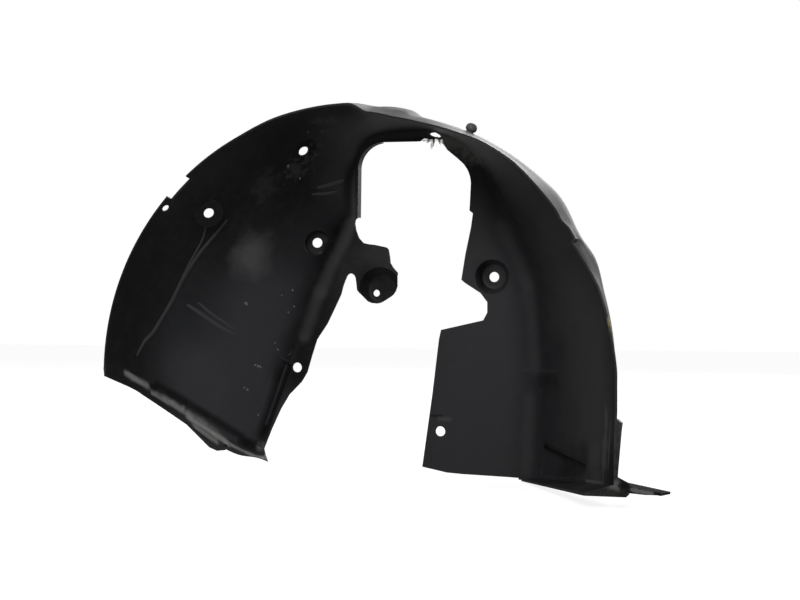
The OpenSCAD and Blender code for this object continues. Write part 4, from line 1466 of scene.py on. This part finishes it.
@dataclass
class Studio:
    """The pale floor, the soft lights and the camera. Lengths are in metres."""

    eye: Triple = (0.618, -1.902, 0.100)
    azimuth: float = 18.0
    focal_px: float = 1542.0
    centre_px: float = 349.0
    width_px: float = 800.0
    sensor_mm: float = 36.0
    far_clip: float = 50.0
    floor_z: float = -0.1578
    floor_half: float = 6.0
    floor_grey: float = 0.42
    floor_glow: float = 0.85
    room: float = 0.22
    backdrop: float = 1.0
    lamps: tuple[tuple[str, Triple, Triple, float, float], ...] = (
        ("key_light", (0.4, -2.7, 1.5), (0, 0, 0.05), 1.3, 60),
        ("back_light", (0.3, 2.9, 1.5), (0, 0, 0.1), 1.8, 40))

    def camera(self) -> None:
        """Places the camera at the photograph's viewing angle."""
        cam = bpy.data.cameras.new("camera")
        cam.sensor_width = self.sensor_mm
        cam.lens = self.sensor_mm * self.focal_px / self.width_px
        cam.shift_x = (self.width_px / 2 - self.centre_px) / self.width_px
        cam.clip_end = self.far_clip
        obj = bpy.data.objects.new("camera", cam)
        t = math.radians(self.azimuth)
        look = Vector((-math.sin(t), math.cos(t), 0))
        obj.location = self.eye
        obj.rotation_euler = look.to_track_quat("-Z", "Y").to_euler()
        bpy.context.scene.collection.objects.link(obj)
        bpy.context.scene.camera = obj

    def lamp(self, name: str, at: Triple, aim: Triple, size: float, power: float) -> None:
        """Places a square soft lamp of a power in watts, aimed at a point."""
        light = bpy.data.lights.new(name, "AREA")
        light.shape = "SQUARE"
        light.size = size
        light.energy = power
        obj = bpy.data.objects.new(name, light)
        obj.location = at
        obj.rotation_euler = (Vector(aim) - Vector(at)).to_track_quat("-Z", "Y").to_euler()
        obj.visible_camera = False
        bpy.context.scene.collection.objects.link(obj)

    def white(self, name: str) -> bpy.types.Material:
        """Returns a pale floor material that the camera sees as white, with the shadow kept."""
        mat, wires, shader = principled(name)
        shader.inputs["Base Color"].default_value = (self.floor_grey, self.floor_grey, self.floor_grey, 1)
        shader.inputs["Roughness"].default_value = 0.9
        shader.inputs["Specular IOR Level"].default_value = 0.1
        shader.inputs["Emission Color"].default_value = (1, 1, 1, 1)
        path = wires.add("ShaderNodeLightPath")
        glow = wires.math("MULTIPLY", path.outputs["Is Camera Ray"], self.floor_glow)
        wires.link(glow, shader.inputs["Emission Strength"])
        return mat

    def world(self) -> None:
        """Sets a white backdrop behind the object and a dimmer room before it."""
        world = bpy.data.worlds.new("studio")
        world.use_nodes = True
        bpy.context.scene.world = world
        wires = Wires(world.node_tree)
        back = world.node_tree.nodes["Background"]
        back.inputs["Color"].default_value = (1, 1, 1, 1)
        path = wires.add("ShaderNodeLightPath").outputs
        way = wires.add("ShaderNodeSeparateXYZ", {0: wires.add("ShaderNodeTexCoord").outputs["Generated"]})
        behind = wires.ramp(way.outputs[1], 0.1, 0.8, self.room, self.backdrop)
        seen = wires.math("MAXIMUM", path["Is Camera Ray"], path["Is Transmission Ray"])
        mirrored = wires.math("MULTIPLY", path["Is Glossy Ray"], behind)
        strength = wires.math("MAXIMUM", wires.math("MAXIMUM", seen, mirrored), self.room)
        wires.link(strength, back.inputs["Strength"])

    def build(self) -> None:
        """Builds the studio."""
        self.camera()
        self.world()
        for lamp in self.lamps:
            self.lamp(*lamp)
        mesh = bpy.data.meshes.new("floor")
        z, s = self.floor_z, self.floor_half
        mesh.from_pydata([(-s, -s, z), (s, -s, z), (s, s, z), (-s, s, z)], [], [(0, 1, 2, 3)])
        floor = bpy.data.objects.new("floor", mesh)
        bpy.context.scene.collection.objects.link(floor)
        mesh.materials.append(self.white("pale_floor"))


SHARED_PATCHES = (
    # Painted shade over the roof and the upper front, and a lighter, bluish tone on the rear inboard wall
    Patch((-60, 120, 320), (-230, 70, 220), 165, (0.0055, 0.0055, 0.006)),
    Patch((110, 250, 110), (100, 250, -120), 130, (0.027, 0.027, 0.030)),
)
FRONT_PATCHES = (
    # Painted shade by the front lip, a lighter panel that is partly dust film and partly painted sheen, and a
    # painted highlight on its bulge
    Patch((-300, 20, 180), (-350, 30, -10), 90, (0.0065, 0.0065, 0.007)),
    Patch((-200, 200, 95), (-240, 200, -105), 110, (0.043, 0.043, 0.048)),
    Patch((-262, 130, 0), (-262, 150, -80), 85, (0.049, 0.049, 0.054), 0.85),
    Patch((-193, 150, 170), (-196, 152, 158), 43, (0.085, 0.085, 0.087), 0.85, 0.8, 40),
    # Painted shade on the front strip of the wall, in its low groove, over the sunk spot above its hole, and in
    # its tab's sunk end
    Patch((-88, 250, 190), (-162, 250, -10), 52, (0.002, 0.002, 0.0025), 1.0, 0.5, 20),
    Patch((-52, 262, 134), (-36, 262, 98), 42, (0.002, 0.002, 0.0025), 1.0, 0.4, 20),
    Patch((-183, 252, -8), (-216, 252, -95), 19, (0.006, 0.006, 0.007), 0.9, 0.4, 30),
    Patch((-178, 250, 16), (-170, 251, 14), 10, (0.005, 0.005, 0.0055), 0.4, 0.4, 30),
    # Painted highlights along the soft fold of the front half and along a fine ridge in its groove
    Patch((-77, 249, 214), (-124, 243, 112), 14, (0.044, 0.044, 0.047), 0.65, 0.5, 40),
    Patch((-124, 243, 112), (-150, 248, 45), 14, (0.044, 0.044, 0.047), 0.65, 0.5, 40),
    Patch((-180, 252, 3), (-212, 252, -85), 3.6, (0.050, 0.050, 0.053), 0.8, 0.6, 60),
    # Painted shadow along the fold above the ledge; pale patches, dark lines and dots along the ledge
    Patch((-312, 86, -20), (-240, 222, -102), 10, (0.003, 0.003, 0.0035), 0.85, 0.5, 30),
    Patch((-240, 222, -108), (-226, 244, -118), 12, (0.003, 0.003, 0.0035), 0.95, 0.6, 40),
    Patch((-315, 74, -28), (-290, 124, -58), 9, (0.34, 0.34, 0.33), 0.9, 0.7, 60),
    Patch((-284, 133, -69), (-251, 185, -106), 14, (0.44, 0.44, 0.43), 0.9, 0.7, 50),
    Patch((-246, 194, -111), (-214, 239, -136), 7, (0.32, 0.32, 0.31), 0.9, 0.7, 60),
    Patch((-273, 130, -82), (-254, 158, -104), 11, (0.34, 0.34, 0.33), 0.9, 0.8, 60),
    Patch((-276, 117, -80), (-255, 140, -103), 3.5, (0.012, 0.012, 0.0125), 0.8, 0.4, 60),
    Patch((-248, 174, -112), (-246, 180, -112), 4.5, (0.004, 0.004, 0.004), 1.0, 0.3, 60),
    Patch((-335, 34, -2), (-319, 64, -20), 9, (0.24, 0.24, 0.235), 0.9, 0.9, 60),
    Patch((-316, 76, -22), (-315, 84, -25), 7, (0.004, 0.004, 0.004), 1.0, 0.4, 60),
    Patch((-221, 248, -120), (-219, 250, -117), 9, (0.12, 0.12, 0.12), 0.9, 0.6, 60),
    # Dust on the roof and about the upper seats
    Patch((-69, 80, 344), (-58, 112, 345), 16, (0.034, 0.034, 0.033), 0.9, 4.5, 110),
    Patch((-122, 134, 287), (-92, 141, 300), 23, (0.034, 0.034, 0.033), 0.9, 4.5, 110),
    Patch((-160, 110, 262), (-156, 108, 256), 30, (0.022, 0.022, 0.022), 0.85, 2.5, 80),
)
REAR_PATCHES = (
    # The rear barrel as a whole, and painted shade with grime in the large sunk seat
    Patch((240, 125, 230), (300, 90, -60), 140, (0.037, 0.0365, 0.036), 0.75, 1.2, 25),
    Patch((116, 262, 144), (121, 262, 128), 22, (0.004, 0.004, 0.0045), 1.0, 0.4, 30),
    # Painted highlights along the soft fold of the rear half, and dust over the opening
    Patch((150, 243, 203), (187, 240, 122), 18, (0.048, 0.048, 0.050), 0.5, 0.5, 40),
    Patch((187, 240, 122), (198, 238, 5), 18, (0.048, 0.048, 0.050), 0.5, 0.5, 40),
    Patch((190, 243, -40), (185, 243, -140), 18, (0.048, 0.048, 0.050), 0.4, 0.5, 40),
    Patch((72, 249, 324), (116, 228, 309), 34, (0.15, 0.146, 0.136), 0.8, 2.2, 90),
    # Painted shade in the lip's groove by the knob, and painted shade and highlight of a small step by the low
    # hole of the panel
    Patch((45, 13, 345), (78, 34, 341), 5, (0.005, 0.005, 0.005), 0.9, 0.3, 40),
    Patch((45, 250, -67), (59, 250, -67), 3.5, (0.004, 0.004, 0.004), 0.9, 0.6, 60),
    Patch((56, 250, -71), (70, 250, -72), 6, (0.060, 0.060, 0.062), 0.7, 1.0, 60),
    # Painted highlight along the crease across the fold, and painted shade under it
    Patch((181, 247, 1), (201, 236, 1), 3.2, (0.036, 0.036, 0.038), 0.6, 0.5, 60),
    Patch((201, 236, 1), (217, 218, 1.5), 3.2, (0.036, 0.036, 0.038), 0.6, 0.5, 60),
    Patch((217, 218, 1.5), (235, 192, 3), 3.2, (0.036, 0.036, 0.038), 0.6, 0.5, 60),
    Patch((207, 228, -12), (235, 192, -12), 16, (0.009, 0.009, 0.009), 0.6, 0.8, 40),
    # The foot: painted shade in its recess and under its diagonal step, a lighter patch, painted highlights on
    # its edges and streaks, and its tab darker and rougher
    Patch((252, 163, -124), (284, 123, -120), 38, (0.004, 0.004, 0.004), 0.9, 1.2, 40),
    Patch((219, 212, -103), (286, 127, -119), 10, (0.003, 0.003, 0.003), 1.0, 0.3, 40),
    Patch((304, 92, -124), (304, 92, -98), 26, (0.040, 0.040, 0.042), 0.8, 0.5, 30),
    Patch((290, 110, -136), (318, 72, -134), 3, (0.090, 0.090, 0.092), 0.9, 0.4, 60),
    Patch((318, 72, -134), (318, 72, -79), 4, (0.070, 0.070, 0.072), 0.9, 0.8, 60),
    Patch((323, 65, -45), (323, 64, -112), 8, (0.060, 0.060, 0.062), 0.9, 2.5, 110),
    Patch((352, 22, -128), (405, 22, -136), 80, (0.006, 0.006, 0.006), 1.0, 0.4, 30, rough=0.9),
    # Rubbed spots on the free edges of the foot, the lip and the tab, and painted shade in the web's slot
    Patch((270, 0, -152), (335, 0, -146), 30, (0.028, 0.028, 0.027), 0.8, 2.0, 80),
    Patch((338, 0, -50), (341, 0, -112), 14, (0.038, 0.038, 0.039), 0.8, 2.5, 110),
    Patch((148, 52, 325), (148, 60, 325), 13, (0.13, 0.13, 0.13), 0.9, 1.2, 150),
    Patch((336, 0, -126), (345, 0, -128), 9, (0.11, 0.11, 0.108), 0.9, 1.6, 120),
    Patch((350, 0, -128), (357, 0, -129), 5, (0.004, 0.004, 0.004), 0.9, 0.6, 60),
    Patch((364, 0, -132), (388, 0, -136), 4.5, (0.14, 0.14, 0.137), 0.9, 1.4, 120),
    # The painted sheen band on the rear lip, and the yellow mark under it
    Patch((306, 15, 160), (326, 13, 98), 17, (0.15, 0.15, 0.156), 0.9, 0.4, 30),
    Patch((333, 5, 76), (335, 6, 62), 7, (0.62, 0.52, 0.17), 1.0, 1.0, 120),
)


def painted_halves(obj: bpy.types.Object, front: bpy.types.Material, rear: bpy.types.Material) -> None:
    """Gives the faces of the front half one material and those of the rear half the other."""
    mesh = obj.data
    mesh.materials.clear()
    mesh.materials.append(front)
    mesh.materials.append(rear)
    mesh.polygons.foreach_set("material_index", [int(face.center.x > 0) for face in mesh.polygons])


def main() -> None:
    """Builds the studio and the liner."""
    logging.basicConfig(level=logging.INFO)
    bpy.context.scene.view_settings.view_transform = "Standard"
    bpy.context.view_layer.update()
    Studio().build()
    effects = Effects()
    maker = WheelArchLiner()
    liner = smoothed(maker.build())
    front = MouldedBlack("moulded_black_front", patches=SHARED_PATCHES + FRONT_PATCHES)
    rear = MouldedBlack("moulded_black_rear", patches=SHARED_PATCHES + REAR_PATCHES)
    painted_halves(liner, front.material(effects), rear.material(effects))
    dirt = StressedPlastic("pale_dirt", (0.15, 0.15, 0.147), (0.05, 0.05, 0.048)).material(effects)
    # The ribs' paler black paints the highlight that their lit flanks catch.
    rubbed_and_highlit = MouldedBlack("rib_highlight_black", (0.050, 0.050, 0.053), (0.070, 0.070, 0.070), wear_and_highlight=0.2)
    ribs = RaisedRibs().build(maker.sheet, rubbed_and_highlit.material(effects))
    specks = DirtSpecks().build(maker.sheet, dirt)
    strands = TornFlakes().build(maker.edge, StressedPlastic(thin=0.75).material(effects))
    pieces = [liner, *ribs, specks, strands]
    for piece in pieces:
        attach(piece, "root")
        LOG.info("%s: %d faces", piece.name, len(piece.data.polygons))
    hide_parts("liner")


if __name__ == "__main__":
    main()
